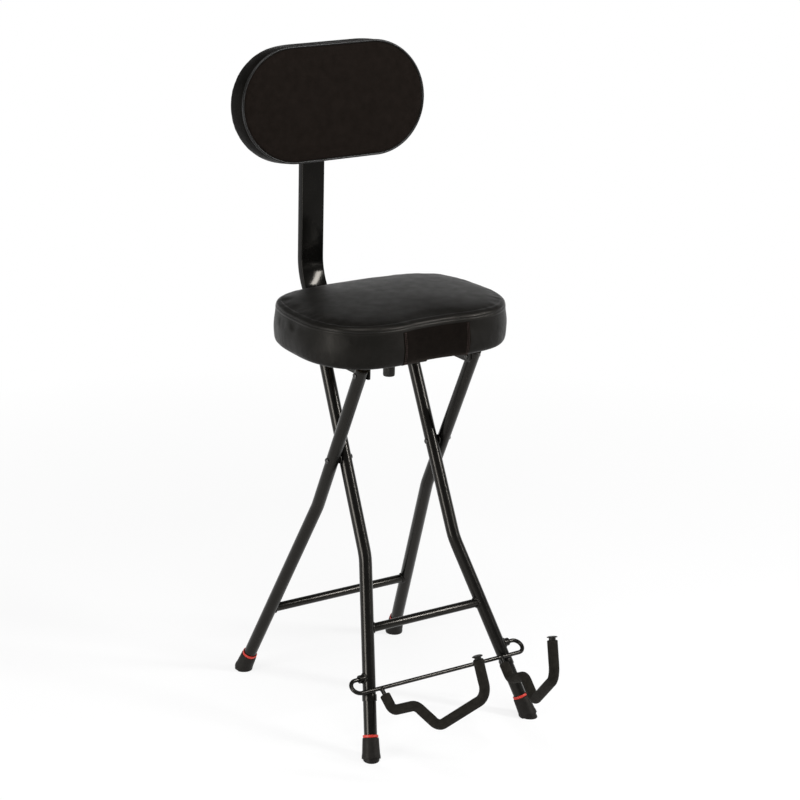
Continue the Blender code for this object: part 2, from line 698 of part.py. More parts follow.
def build_seat_plates():
    """Steel plates under the seat's sides, hinged at the rear frame, hooked on the front frame."""
    top = SEAT_BASE - GAP
    turn = Matrix(((0, 0, 1), (1, 0, 0), (0, 1, 0))).to_quaternion()
    for label, side in SIDES:
        name = "seat_plate_" + label
        inner = PLATE_OUTER - PLATE_THICKNESS
        start = inner if side > 0 else -PLATE_OUTER
        mesh = plate_mesh(name, seat_plate_outline(), PLATE_THICKNESS)
        plate = add_object(name, mesh, "seat", "powder_coat", (start, 0, 0), turn)
        edge = sorted((side * (PLATE_OUTER - PLATE_THICKNESS / 2), side * (PLATE_OUTER - FLANGE_WIDTH)))
        low = (edge[0], SEAT_HINGE.y + FLANGE_FRONT, top - PLATE_THICKNESS)
        high = (edge[1], CATCH.y - FLANGE_BACK, top)
        flange = add_object(name + "_flange", block_mesh(name + "_flange", low, high), "seat", None)
        combine(plate, flange, "UNION")
        holes = [(
            (side * (inner - OVERRUN), *SEAT_HINGE.yz), (side * (PLATE_OUTER + OVERRUN), *SEAT_HINGE.yz),
            RIVET_RADIUS + GAP)]
        for screw in ("plate_screw_front_", "plate_screw_back_"):
            x, y = screw_places()[screw + label]
            below = top - PLATE_THICKNESS - OVERRUN
            holes.append(((x, y, below), (x, y, top + OVERRUN), SCREW_RADIUS + GAP))
        drill(plate, "seat", holes)
        name = "seat_rivet_" + label
        grip = 2 * TUBE_RADIUS + PLATE_THICKNESS + GAP
        mesh = rivet_mesh(
            name, grip, RIVET_RADIUS, RIVET_HEAD_RADIUS, RIVET_TAIL_HEIGHT, RIVET_TAIL_HEIGHT)
        outside = (side * (REAR_HALF + TUBE_RADIUS + GAP), *SEAT_HINGE.yz)
        add_object(name, mesh, "rear_frame", "black_steel", outside, along((side, 0, 0)))


def build_catch_pins():
    """Pins through the tops of the front legs, which the seat plates hook over."""
    for label, side in SIDES:
        inside = front_half(CATCH_HEIGHT) - TUBE_RADIUS
        grip = PLATE_OUTER + 2 * GAP - inside
        name = "catch_pin_" + label
        mesh = rivet_mesh(name, grip, PIN_RADIUS, PIN_HEAD_RADIUS, PIN_HEAD_HEIGHT, RIVET_TAIL_HEIGHT)
        outside = (side * (PLATE_OUTER + 3 * GAP), *CATCH.yz)
        add_object(name, mesh, "front_frame", "black_steel", outside, along((side, 0, 0)))


def build_tube_plugs():
    """Plastic plugs in the open tops of the rear legs."""
    rise = Vector((0, -math.sin(LEAN), math.cos(LEAN)))
    bore = TUBE_RADIUS - TUBE_WALL - GAP
    profile = [
        (0, PLUG_RIM), (TUBE_RADIUS - PLUG_RIM / 2, PLUG_RIM), (TUBE_RADIUS, PLUG_RIM / 2),
        (TUBE_RADIUS, GAP), (bore, GAP), (bore, -PLUG_DEPTH / 2), (0, -PLUG_DEPTH / 2)]
    for label, side in SIDES:
        name = "rear_leg_plug_" + label
        place = on_frame(-1, side * REAR_HALF, REAR_TOP_HEIGHT)
        mesh = turned_mesh(name, profile, TUBE_SIDES)
        add_object(name, mesh, "rear_frame", "black_plastic", place, along(rise))


def build_receiver():
    """Sleeve screwed under the seat board, with the clamp knob and its stud below."""
    post_half = POST_WIDTH / 2 + GAP
    floor = POST_LEVEL - POST_DEPTH / 2 - GAP
    wide = post_half + RECEIVER_WALL
    top = SEAT_BASE - GAP
    low = (-wide, -RECEIVER_FRONT, floor - RECEIVER_FLOOR)
    mesh = block_mesh("post_receiver", low, (wide, RECEIVER_BACK, top))
    sleeve = add_object("post_receiver", mesh, "seat", "powder_coat")
    low = (-wide - RECEIVER_EAR, RECEIVER_SCREW_BACK - RECEIVER_EAR, top - RECEIVER_EAR_THICKNESS)
    high = (wide + RECEIVER_EAR, RECEIVER_SCREW_BACK + RECEIVER_EAR, top)
    ears = add_object("post_receiver_ears", block_mesh("post_receiver_ears", low, high), "seat", None)
    combine(sleeve, ears, "UNION")
    low = (-post_half, -RECEIVER_FRONT - OVERRUN, floor)
    high = (post_half, RECEIVER_BACK + OVERRUN, floor + POST_DEPTH + 2 * GAP)
    mesh = block_mesh("post_receiver_channel", low, high)
    combine(sleeve, add_object("post_receiver_channel", mesh, "seat", None), "DIFFERENCE")
    stud_bore = STUD_RADIUS + GAP
    under = floor - RECEIVER_FLOOR - OVERRUN
    holes = [((0, KNOB_BACK, under), (0, KNOB_BACK, floor + GAP), stud_bore)]
    for label, side in SIDES:
        x, y = screw_places()["receiver_screw_" + label]
        below = top - RECEIVER_EAR_THICKNESS - OVERRUN
        holes.append(((x, y, below), (x, y, top + OVERRUN), SCREW_RADIUS + GAP))
    drill(sleeve, "seat", holes)
    bottom = SEAT_BASE - KNOB_BOTTOM_DROP
    profile = [
        (0, 0), (KNOB_RADIUS - KNOB_ROUND, 0), (KNOB_RADIUS, KNOB_ROUND),
        (KNOB_RADIUS, KNOB_HEIGHT - KNOB_ROUND), (KNOB_RADIUS - KNOB_ROUND, KNOB_HEIGHT),
        (stud_bore, KNOB_HEIGHT), (stud_bore, KNOB_HEIGHT - KNOB_SOCKET), (0, KNOB_HEIGHT - KNOB_SOCKET)]
    knob = turned_mesh("clamp_knob", profile, 2 * TURNED_SIDES)
    add_object("clamp_knob", knob, "knob", "black_plastic", (0, KNOB_BACK, bottom))
    start = bottom + KNOB_HEIGHT - KNOB_SOCKET + GAP
    profile = [(0, 0), (STUD_RADIUS, 0), (STUD_RADIUS, floor - start), (0, floor - start)]
    stud = turned_mesh("clamp_stud", profile)
    add_object("clamp_stud", stud, "knob", "black_steel", (0, KNOB_BACK, start))


def section_verts(bm, outline, place, turn):
    """A ring of vertices and edges from an outline, put in place."""
    verts = [bm.verts.new(place + turn @ Vector((x, y, 0))) for x, y in outline]
    edges = [bm.edges.new((verts[i - 1], verts[i])) for i in range(len(verts))]
    return verts, edges


def build_post():
    """Flat tube: a level run, a quarter bend and an upright, with a plug at each end."""
    outline = rounded_rectangle(POST_WIDTH, POST_DEPTH, POST_CORNER)
    bend_back = POST_BACK - POST_BEND_RADIUS
    level_turn = Matrix(((1, 0, 0), (0, 0, 1), (0, 1, 0)))
    bm = bmesh.new()
    verts, edges = section_verts(bm, outline, Vector((0, -POST_FRONT, POST_LEVEL)), level_turn)
    run = bmesh.ops.extrude_edge_only(bm, edges=edges)["geom"]
    moved = [item for item in run if isinstance(item, bmesh.types.BMVert)]
    bmesh.ops.translate(bm, verts=moved, vec=(0, bend_back + POST_FRONT, 0))
    last = [item for item in run if isinstance(item, bmesh.types.BMEdge)]
    last = [edge for edge in last if all(vert in moved for vert in edge.verts)]
    steps = math.ceil(math.pi / 2 / ARC_STEP)
    spun = bmesh.ops.spin(
        bm, geom=moved + last, cent=(0, bend_back, POST_LEVEL + POST_BEND_RADIUS), axis=(1, 0, 0),
        angle=math.pi / 2, steps=steps)["geom_last"]
    last = [item for item in spun if isinstance(item, bmesh.types.BMEdge)]
    run = bmesh.ops.extrude_edge_only(bm, edges=last)["geom"]
    moved = [item for item in run if isinstance(item, bmesh.types.BMVert)]
    bmesh.ops.translate(
        bm, verts=moved, vec=(0, 0, POST_TOP_HEIGHT - POST_LEVEL - POST_BEND_RADIUS))
    post = add_object("backrest_post", finish_mesh(bm, "backrest_post"), "backrest", "powder_coat")
    shell = post.modifiers.new("wall", "SOLIDIFY")
    shell.thickness = POST_WALL
    shell.offset = -1
    shell.use_even_offset = True
    holes = []
    for height in (BACKREST_HEIGHT - BOLT_HALF_SPACING, BACKREST_HEIGHT + BOLT_HALF_SPACING):
        reach = POST_DEPTH / 2 + OVERRUN
        holes.append(((0, POST_BACK - reach, height), (0, POST_BACK + reach, height), BOLT_RADIUS + GAP))
    drill(post, "backrest", holes)
    front_turn = Matrix(((1, 0, 0), (0, 0, -1), (0, 1, 0))).to_quaternion()
    for name, place, turn in (
            ("post_plug_front", (0, -POST_FRONT, POST_LEVEL), front_turn),
            ("post_plug_top", (0, POST_BACK, POST_TOP_HEIGHT), None)):
        rim = plate_mesh(name, outline, PLUG_RIM)
        bm = bmesh.new()
        bm.from_mesh(rim)
        bmesh.ops.translate(bm, verts=bm.verts, vec=(0, 0, GAP))
        below = min(bm.faces, key=lambda face: face.calc_center_median().z)
        bmesh.ops.inset_region(bm, faces=[below], thickness=POST_WALL + GAP, use_even_offset=True)
        lifted = bmesh.ops.extrude_face_region(bm, geom=[below])
        bmesh.ops.delete(bm, geom=[below], context="FACES_ONLY")
        moved = [item for item in lifted["geom"] if isinstance(item, bmesh.types.BMVert)]
        bmesh.ops.translate(bm, verts=moved, vec=(0, 0, -PLUG_DEPTH))
        bpy.data.meshes.remove(rim)
        add_object(name, finish_mesh(bm, name), "backrest", "black_plastic", place, turn)


def backrest_outline():
    """Racetrack outline of the backrest: straight runs joined by half ellipses."""
    straight = BACKREST_HALF_WIDTH - BACKREST_END_RADIUS
    points = []
    for side in (1, -1):
        for step in range(BACKREST_END_STEPS + 1):
            angle = (step / BACKREST_END_STEPS - 0.5) * math.pi
            x = side * (straight + BACKREST_END_RADIUS * math.cos(angle))
            points.append(Vector((x, side * BACKREST_HALF_HEIGHT * math.sin(angle))))
    return points


def backrest_frame():
    """Turn that stands the pad up and tilts it back, and the middle of its rear plane."""
    turn = Matrix.Rotation(math.pi / 2 - BACKREST_TILT, 3, "X")
    return turn, Vector((0, BACKREST_BACK, BACKREST_HEIGHT))


def build_backrest():
    """Padded racetrack on its board, the bracket behind it, and the bolts and screws that hold them."""
    turn, back = backrest_frame()
    outline = backrest_outline()
    deep, rounding = BACKREST_THICKNESS, BACKREST_FACE_ROUND
    pocket = BACKREST_BOARD_THICKNESS + GAP
    inset = BACKREST_BOARD_INSET
    edge_in, edge_down = (rounding * share for share in BACKREST_EDGE_SHARES)
    rings = [
        (inset - GAP, pocket), (inset - GAP, 0), (rounding, 0), (rounding / 4, rounding / 2),
        (0, deep / 2), (0, deep - rounding), (edge_in, deep - edge_down)]
    mesh = cushion_mesh("backrest_pad", outline, rings, BACKREST_TOP_SHARES, edge_down)
    add_object("backrest_pad", mesh, "backrest", "suede", back, turn.to_quaternion())
    mesh = plate_mesh("backrest_board", inset_outline(outline, inset), BACKREST_BOARD_THICKNESS)
    board = add_object("backrest_board", mesh, "backrest", "plywood", back, turn.to_quaternion())

    face = turn @ Vector((0, 0, 1))
    up = turn @ Vector((0, 1, 0))
    thick = BRACKET_THICKNESS
    near = back - face * GAP
    low_pad = near - up * BRACKET_HALF_HEIGHT
    high_pad = near + up * BRACKET_HALF_HEIGHT
    post_face = POST_BACK - POST_DEPTH / 2 - GAP
    low_post = Vector((0, post_face, low_pad.z))
    high_post = Vector((0, post_face, high_pad.z))
    side_view = [
        high_post, low_post, low_pad, high_pad, high_pad - face * thick,
        low_pad - face * thick + up * thick, low_post + Vector((0, -thick, thick)),
        high_post + Vector((0, -thick, 0))]
    swing = Matrix(((0, 0, 1), (1, 0, 0), (0, 1, 0))).to_quaternion()
    mesh = plate_mesh("backrest_bracket", [point.yz for point in side_view], BRACKET_WIDTH)
    place = (-BRACKET_WIDTH / 2, 0, 0)
    bracket = add_object("backrest_bracket", mesh, "backrest", "powder_coat", place, swing)

    holes = []
    grip = POST_DEPTH + GAP + thick
    rear = POST_BACK + POST_DEPTH / 2 + GAP
    for place, offset in (("lower", -BOLT_HALF_SPACING), ("upper", BOLT_HALF_SPACING)):
        name = "backrest_bolt_" + place
        height = BACKREST_HEIGHT + offset
        mesh = rivet_mesh(name, grip, BOLT_RADIUS, BOLT_HEAD_RADIUS, BOLT_HEAD_HEIGHT, BOLT_HEAD_HEIGHT)
        add_object(name, mesh, "backrest", "black_steel", (0, rear, height), along((0, 1, 0)))
        holes.append((
            (0, post_face - thick - OVERRUN, height), (0, post_face + OVERRUN, height), BOLT_RADIUS + GAP))
    board_holes = []
    for label, side in SIDES:
        name = "board_screw_" + label
        spot = back + Vector((side * BOARD_SCREW_HALF_SPACING, 0, 0))
        head = spot - face * (thick + 2 * GAP)
        length = thick + BACKREST_BOARD_THICKNESS * BOARD_SCREW_SHARE
        profile = [
            (0, -SCREW_HEAD_HEIGHT), (SCREW_HEAD_RADIUS / 2, -SCREW_HEAD_HEIGHT),
            (SCREW_HEAD_RADIUS, -SCREW_HEAD_HEIGHT / 2), (SCREW_HEAD_RADIUS, 0), (SCREW_RADIUS, 0),
            (SCREW_RADIUS, length), (0, length)]
        mesh = turned_mesh(name, profile, SCREW_SIDES)
        add_object(name, mesh, "backrest", "black_steel", head, along(face))
        holes.append((spot - face * (thick + OVERRUN), spot + face * OVERRUN, SCREW_RADIUS + GAP))
        board_holes.append((spot - face * OVERRUN, head + face * (length + GAP), SCREW_RADIUS + GAP))
    drill(bracket, "backrest", holes)
    drill(board, "backrest", board_holes, SCREW_SIDES)


def build_cradle(lower):
    """Guitar cradle: looped rod, two arms in foam sleeves with end caps, bushes and stop collars."""
    foot, bend = lower["front", "right"]
    run = (bend - foot).normalized()
    across = math.sqrt(1 - run.x ** 2)
    rest = on_frame(1, 0, ROD_HEIGHT)
    rod_y = rest.y - (TUBE_RADIUS + ROD_RADIUS + GAP) * across / run.z
    rod = Vector((0, rod_y, ROD_HEIGHT))
    spread = rod - CRADLE_HINGE
    loop_radius = spread.length / 2
    out = LOOP_REACH - loop_radius
    wire = foot.lerp(bend, CRADLE_HINGE_HEIGHT / bend.z).x
    path = []
    for side in (-1, 1):
        loop = [CRADLE_HINGE + Vector((side * (wire - ROD_RADIUS), 0, 0))]
        middle = CRADLE_HINGE + spread / 2
        for step in range(LOOP_STEPS + 1):
            angle = math.pi * step / LOOP_STEPS
            swing = spread.normalized() * -math.cos(angle) * loop_radius
            loop.append(middle + Vector((side * (out + math.sin(angle) * loop_radius), 0, 0)) + swing)
        path += loop if side < 0 else loop[::-1]
    add_object("cradle_rod", rod_mesh("cradle_rod", path, ROD_RADIUS, ROD_SIDES), "cradle", "powder_coat")

    for label, side in SIDES:
        foot, bend = lower["front", label]
        run = (bend - foot).normalized()
        name = "cradle_bush_" + label
        bore = ROD_RADIUS + GAP
        start = wire + TUBE_RADIUS / 2
        length = wire + TUBE_RADIUS + BUSH_LENGTH - start
        profile = [(BUSH_RADIUS, 0), (BUSH_RADIUS, length), (bore, length), (bore, 0)]
        place = (side * start, *CRADLE_HINGE.yz)
        bush = add_object(
            name, turned_mesh(name, profile, TUBE_SIDES), "front_frame", "powder_coat", place,
            along((side, 0, 0)))
        cope_with_tube(bush, "front_frame", foot, bend)
        name = "rest_collar_" + label
        bore = TUBE_RADIUS + GAP
        edge = TUBE_RADIUS + COLLAR_WALL
        profile = [(edge, -COLLAR_LENGTH), (edge, 0), (bore, 0), (bore, -COLLAR_LENGTH)]
        contact = foot.lerp(bend, ROD_HEIGHT / bend.z)
        slide = (rod_y - contact.y) * run.y
        place = contact + run * (slide - COLLAR_DROP)
        add_object(
            name, turned_mesh(name, profile, TUBE_SIDES), "front_frame", "powder_coat", place, along(run))

        start = rod + Vector((side * ARM_HALF_WIDTH, 0, 0))
        corners = [start]
        for reach, width, height, bend_share in ARM_CORNER_SHARES:
            corners.append(Vector((
                side * ARM_HALF_WIDTH * width, rod_y - ARM_REACH * reach, ROD_HEIGHT + ARM_RISE * height)))
        reach, width, height = ARM_TIP_SHARES
        corners.append(Vector((
            side * ARM_HALF_WIDTH * width, rod_y - ARM_REACH * reach, ROD_HEIGHT + ARM_RISE * height)))
        radii = [ARM_BEND_RADIUS * share for *place, share in ARM_CORNER_SHARES]
        path = rounded_path(corners, radii)
        name = "cradle_arm_" + label
        arm = add_object(name, rod_mesh(name, path, ROD_RADIUS, ROD_SIDES), "cradle", "powder_coat")
        name += "_cope"
        notch = [start - Vector((FOAM_START, 0, 0)), start + Vector((FOAM_START, 0, 0))]
        cutter = rod_mesh(name, notch, ROD_RADIUS + GAP, ROD_SIDES)
        combine(arm, add_object(name, cutter, "cradle", None), "DIFFERENCE")

        name = "cradle_foam_" + label
        sleeve = trimmed(path, ROD_RADIUS + FOAM_START, FOAM_END)
        wall = FOAM_RADIUS * math.cos(math.pi / FOAM_SIDES) - ROD_RADIUS - GAP
        tube(name, "cradle", sleeve, FOAM_RADIUS, wall, FOAM_SIDES, "foam")

        name = "cradle_cap_" + label
        bore = ROD_RADIUS + GAP
        neck = FOAM_END - 2 * GAP
        profile = [
            (0, CAP_THICKNESS), (CAP_RADIUS / 2, CAP_THICKNESS), (CAP_RADIUS, CAP_THICKNESS / 2),
            (CAP_RADIUS, 0), (CAP_NECK_RADIUS, 0), (CAP_NECK_RADIUS, GAP - neck), (bore, GAP - neck),
            (bore, GAP), (0, GAP)]
        end = path[-1]
        direction = (path[-1] - path[-2]).normalized()
        add_object(
            name, turned_mesh(name, profile, TUBE_SIDES), "cradle", "black_plastic", end,
            along(direction))


make_axes()
lower_runs = build_legs()
build_crossing()
build_seat()
build_screws()
build_seat_plates()
build_catch_pins()
build_tube_plugs()
build_receiver()
build_post()
build_backrest()
build_cradle(lower_runs)
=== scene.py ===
import json
import math

import bmesh
import bpy
import numpy as np
from mathutils import Matrix, Vector
from mathutils.bvhtree import BVHTree


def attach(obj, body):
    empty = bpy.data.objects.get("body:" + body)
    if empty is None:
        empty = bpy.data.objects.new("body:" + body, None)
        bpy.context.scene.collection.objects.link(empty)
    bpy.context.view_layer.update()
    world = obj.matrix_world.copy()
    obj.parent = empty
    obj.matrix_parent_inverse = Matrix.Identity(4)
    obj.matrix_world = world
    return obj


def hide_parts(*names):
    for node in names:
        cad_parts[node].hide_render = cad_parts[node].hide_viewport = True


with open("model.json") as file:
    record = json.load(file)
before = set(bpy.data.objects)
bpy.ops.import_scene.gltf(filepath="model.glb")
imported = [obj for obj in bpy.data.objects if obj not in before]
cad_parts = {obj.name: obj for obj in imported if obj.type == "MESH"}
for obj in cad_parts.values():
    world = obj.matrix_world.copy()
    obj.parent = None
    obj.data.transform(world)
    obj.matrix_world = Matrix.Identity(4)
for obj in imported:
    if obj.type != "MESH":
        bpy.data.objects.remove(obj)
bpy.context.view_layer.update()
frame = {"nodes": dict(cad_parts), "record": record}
print("frame loaded:", len(frame["nodes"]), "nodes")

# Places shared by several pieces, as the solids have them
stool = {
    "back": 0.06604,            # the stool's middle behind the origin
    "lean": math.radians(25),
    "crossing": 0.4574,
    "seatBase": 0.652,
    "tube": 0.0111,
    "wall": 0.0012,
    "gap": 0.0003,
}
sides = (("left", -1), ("right", 1))


# Point on a leg frame's leaning plane: y grows by height over the crossing times tan(lean)
def onFrame(lean, half, height):
    rise = (height - stool["crossing"]) * math.tan(stool["lean"])
    return np.array([half, stool["back"] + lean * rise, height])


# Vectors cut or stretched to length 1, row by row
def unit(vector):
    vector = np.asarray(vector, float)
    return vector / np.linalg.norm(vector, axis=-1, keepdims=True)


# Distance travelled along a line at each of its points
def travelled(line):
    return np.concatenate([[0], np.cumsum(np.linalg.norm(np.diff(line, axis=0), axis=1))])


# Direction along a closed line at each of its points, from the one before to the one after
def aheadOn(line):
    return unit(np.roll(line, -1, 0) - np.roll(line, 1, 0))


# A table's columns read at new values of what its rows are listed by
def between(values, listed, table):
    return np.stack([np.interp(values, listed, column) for column in np.transpose(table)], 1)


# Angles of a full turn in equal steps
def fullTurn(count):
    return np.arange(count) * 2 * math.pi / count


def circle(count):
    angles = fullTurn(count)
    return np.stack([np.cos(angles), np.sin(angles)], 1)


# A section's points (m, 2) set out along two side vectors, or along each row's two
def spreadOn(section, sideways, upward):
    return section[:, :1] * sideways[..., None, :] + section[:, 1:] * upward[..., None, :]


# A section set out square to a direction, from a side vector of it, or from each row's
def squareTo(along, side, section):
    return spreadOn(section, side, np.cross(along, side))


# Rings drawn together into their middles, to close an end
def middleOf(rings):
    return rings.mean(1, keepdims=True).repeat(rings.shape[1], 1)


# Straight runs joined by arcs: each arc starts radius * tan(turn / 2) before its corner
def roundedPath(corners, radii, step=math.radians(4)):
    corners = [np.asarray(corner, float) for corner in corners]
    path = [corners[0][None]]
    for before, corner, after, radius in zip(corners, corners[1:], corners[2:], radii):
        into, out = unit(corner - before), unit(after - corner)
        turn = math.acos(np.clip(into @ out, -1, 1))
        reach = radius * math.tan(turn / 2)
        toCentre = unit(out - into * (out @ into))
        angles = np.linspace(0, turn, max(3, math.ceil(turn / step)) + 1)[:, None]
        start = corner - into * reach
        path.append(start + radius * (np.sin(angles) * into + (1 - np.cos(angles)) * toCentre))
    path.append(corners[-1][None])
    return np.concatenate(path)


# Place and direction at distances along a path; past its ends it goes straight on
def stationsOn(path, distances):
    total = travelled(path)
    dirs = unit(np.diff(path, axis=0))
    nodeDirs = unit(np.concatenate([dirs[:1], dirs[:-1] + dirs[1:], dirs[-1:]]))
    inside = np.clip(distances, 0, total[-1])
    along = unit(between(inside, total, nodeDirs))
    return between(inside, total, path) + along * (np.asarray(distances) - inside)[:, None], along


# A side vector for each direction, carried along the path without twist
def carriedSides(along, first):
    carried = []
    side = np.asarray(first, float)
    for direction in along:
        side = unit(side - direction * (side @ direction))
        carried.append(side)
    return np.array(carried)


# Quads of a grid of closed rings; the grid itself is closed too where asked
def gridFaces(rings, across, wrapRings=False):
    i, j = np.arange(rings if wrapRings else rings - 1)[:, None], np.arange(across)[None]
    nextRing, nextSide = (i + 1) % rings, (j + 1) % across
    return np.stack([
        i * across + j, i * across + nextSide, nextRing * across + nextSide, nextRing * across + j], -1).reshape(-1, 4)


# Grid of points (rings, sides, 3) as a mesh; doubles merged, faces turned outward
def gridMesh(points, wrapRings=False):
    return arrayMesh(points.reshape(-1, 3), gridFaces(*points.shape[:2], wrapRings))


def arrayMesh(verts, faces, merge=1e-6):
    mesh = bpy.data.meshes.new("mesh")
    mesh.from_pydata(np.asarray(verts, float).tolist(), [], np.asarray(faces).tolist())
    bm = bmesh.new()
    bm.from_mesh(mesh)
    bmesh.ops.remove_doubles(bm, verts=bm.verts, dist=merge)
    bmesh.ops.recalc_face_normals(bm, faces=bm.faces)
    bm.to_mesh(mesh)
    bm.free()
    return mesh


# A closed section (m, 2), in units of each station's scale, carried along a path
def sweep(path, distances, scales, section, first=(1, 0, 0), wrapRings=False):
    place, along = stationsOn(path, distances)
    side = carriedSides(along, first)
    return gridMesh(place[:, None] + squareTo(along, side, section) * scales[:, None, None], wrapRings)


# Distances along a path: its ends, and every bend's points that aren't right beside them
def pathDistances(path, least=0.0008):
    total = travelled(path)
    return np.concatenate([[0], total[(total > least) & (total < total[-1] - least)], total[-1:]])


# Solid round bar: at its ends radius - edge + edge * sin(a), edge * (1 - cos(a)) in from the end
def roundBar(path, radius, count, edge=0.0006, first=(1, 0, 0)):
    run = pathDistances(path)
    angle = np.linspace(0, math.pi / 2, 4)
    lead, rounded = edge * (1 - np.cos(angle)), radius - edge + edge * np.sin(angle)
    distances = np.concatenate([run[:1], lead, run[1:-1], run[-1] - lead[::-1], run[-1:]])
    scales = np.concatenate([[0], rounded, np.full(len(run) - 2, radius), rounded[::-1], [0]])
    return sweep(path, distances, scales, circle(count), first)


# Open-ended tube: its outside, then back along its inside, closed on itself
def hollowTube(path, radius, wall, count=40, edge=0.0003):
    run = pathDistances(path)
    distances = np.concatenate([run[:1], run[:1] + edge, run[1:-1], run[-1:] - edge, run[-1:]])
    outer = np.full(len(distances), radius)
    outer[[0, -1]] -= edge
    scales = np.concatenate([outer, np.full(len(distances), radius - wall)])
    return sweep(path, np.concatenate([distances, distances[::-1]]), scales, circle(count), wrapRings=True)


# Turned shape: profile (radius, height) spun round an axis from a base point
def turned(profile, base, axis, count=40):
    axis = unit(axis)
    side = unit(np.cross(axis, (0, 0, 1) if abs(axis[2]) < 0.9 else (1, 0, 0)))
    spokes = squareTo(axis, side, circle(count))
    return gridMesh(base + profile[:, None, 1:] * axis + profile[:, None, :1] * spokes, profile[0, 0] > 1e-6)


# Corner points of a profile eased by small arcs, so that edges catch the light
def easedProfile(points, radius, steps=3):
    points = np.asarray(points, float)
    eased = [points[:1]]
    for before, corner, after in zip(points, points[1:], points[2:]):
        into, out = corner - before, after - corner
        reach = min(radius, np.linalg.norm(into) * 0.45, np.linalg.norm(out) * 0.45)
        start, stop = corner - unit(into) * reach, corner + unit(out) * reach
        t = np.linspace(0, 1, steps + 1)[:, None]
        eased.append((1 - t) ** 2 * start + 2 * t * (1 - t) * corner + t * t * stop)
    eased.append(points[-1:])
    return np.concatenate(eased)


# Weld bead where one round bar meets another: the bar's rim slid along it to the other's surface,
# with a rippled bead swept round that line
def weldBead(place, direction, barRadius, onPoint, onDirection, onRadius, bead, ripples, count=96):
    direction, onDirection = unit(direction), unit(onDirection)
    side = unit(np.cross(direction, onDirection))
    rim = place + barRadius * squareTo(direction, side, circle(count))
    across = rim - onPoint
    across = across - (across @ onDirection)[:, None] * onDirection
    run = direction - (direction @ onDirection) * onDirection
    a, b, c = run @ run, across @ run, (across ** 2).sum(1) - onRadius ** 2
    line = rim + ((-b - np.sqrt(np.maximum(b * b - a * c, 0))) / a)[:, None] * direction
    ahead = aheadOn(line)
    outward = unit(line - place - ((line - place) @ direction)[:, None] * direction)
    outward = unit(outward - (outward * ahead).sum(1)[:, None] * ahead)
    angles = fullTurn(count)
    size = bead * (1 + 0.14 * np.abs(np.sin(angles * ripples / 2)) + 0.1 * np.sin(3 * angles + 1))
    return gridMesh(line[:, None] + size[:, None, None] * squareTo(ahead, outward, circle(12)), wrapRings=True)


def joined(meshes):
    bm = bmesh.new()
    for mesh in meshes:
        bm.from_mesh(mesh)
        bpy.data.meshes.remove(mesh)
    mesh = bpy.data.meshes.new("mesh")
    bm.to_mesh(mesh)
    bm.free()
    return mesh


def inScene(name, data):
    thing = bpy.data.objects.new(name, data)
    bpy.context.scene.collection.objects.link(thing)
    return thing


# Each slot's finishes, the one of its solids first
slots = {
    "powder_coat": ("powder", "post"), "black_steel": ("zinc", "staple"),
    "vinyl": ("vinyl", "welt", "side", "cord", "blackThread"), "suede": ("suede", "panel", "thread"),
    "plywood": ("ply",), "black_plastic": ("plastic",), "black_rubber": ("rubber",), "red_rubber": ("red",),
    "foam": ("foam",)}


# Puts a finished mesh in the scene: its finish, its body, the solids it stands for
def addPiece(name, mesh, finish, body, replaces=(), sharp=35):
    mesh.name = name
    mesh.materials.clear()
    mesh.materials.append(finishes[finish])
    mesh.shade_smooth()
    mesh.set_sharp_from_angle(angle=math.radians(sharp))
    piece = inScene(name, mesh)
    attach(piece, body)
    if replaces:
        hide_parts(*replaces)
    return piece


# New node. A node's output given as a value is linked, anything else sets the input or setting of that name
def nodeOn(material, kind, *inputs, **values):
    tree = material.node_tree
    node = tree.nodes.new(kind)
    for key, value in (*enumerate(inputs), *values.items()):
        if isinstance(value, bpy.types.NodeSocket):
            tree.links.new(value, node.inputs[key])
        elif key in node.inputs:
            node.inputs[key].default_value = value
        else:
            setattr(node, key, value)
    return node


# Pattern over Object coordinates, stretched by a Mapping where asked
def patternOn(material, kind, scale, stretch=None, **values):
    place = nodeOn(material, "ShaderNodeTexCoord").outputs["Object"]
    if stretch:
        place = nodeOn(material, "ShaderNodeMapping", Vector=place, Scale=stretch).outputs["Vector"]
    return nodeOn(material, kind, Vector=place, Scale=scale, **values)


# Value remapped from one range to another
def ranged(material, value, low, high, fromLow=0.3, fromHigh=0.7):
    levels = {"From Min": fromLow, "From Max": fromHigh, "To Min": low, "To Max": high}
    return nodeOn(material, "ShaderNodeMapRange", Value=value, **levels).outputs["Result"]


# Colour that drifts between two tones with a value
def toned(material, value, dark, light, low, high):
    ramp = nodeOn(material, "ShaderNodeValToRGB", Fac=value)
    for element, place, tone in zip(ramp.color_ramp.elements, (low, high), (dark, light)):
        element.position, element.color = place, (*tone, 1)
    return ramp.outputs["Color"]


def noise(scale, detail, **more):
    return {"kind": "ShaderNodeTexNoise", "scale": scale, "Detail": float(detail), **more}


def cells(scale, **more):
    return {"kind": "ShaderNodeTexVoronoi", "scale": scale, **more}


def plainFinish(name, colour, roughness, **sockets):
    material = bpy.data.materials.new(name)
    material.use_nodes = True
    shader = material.node_tree.nodes["Principled BSDF"]
    for socket, value in {"Base Color": (*colour, 1), "Roughness": roughness, **sockets}.items():
        shader.inputs[socket].default_value = value
    return material


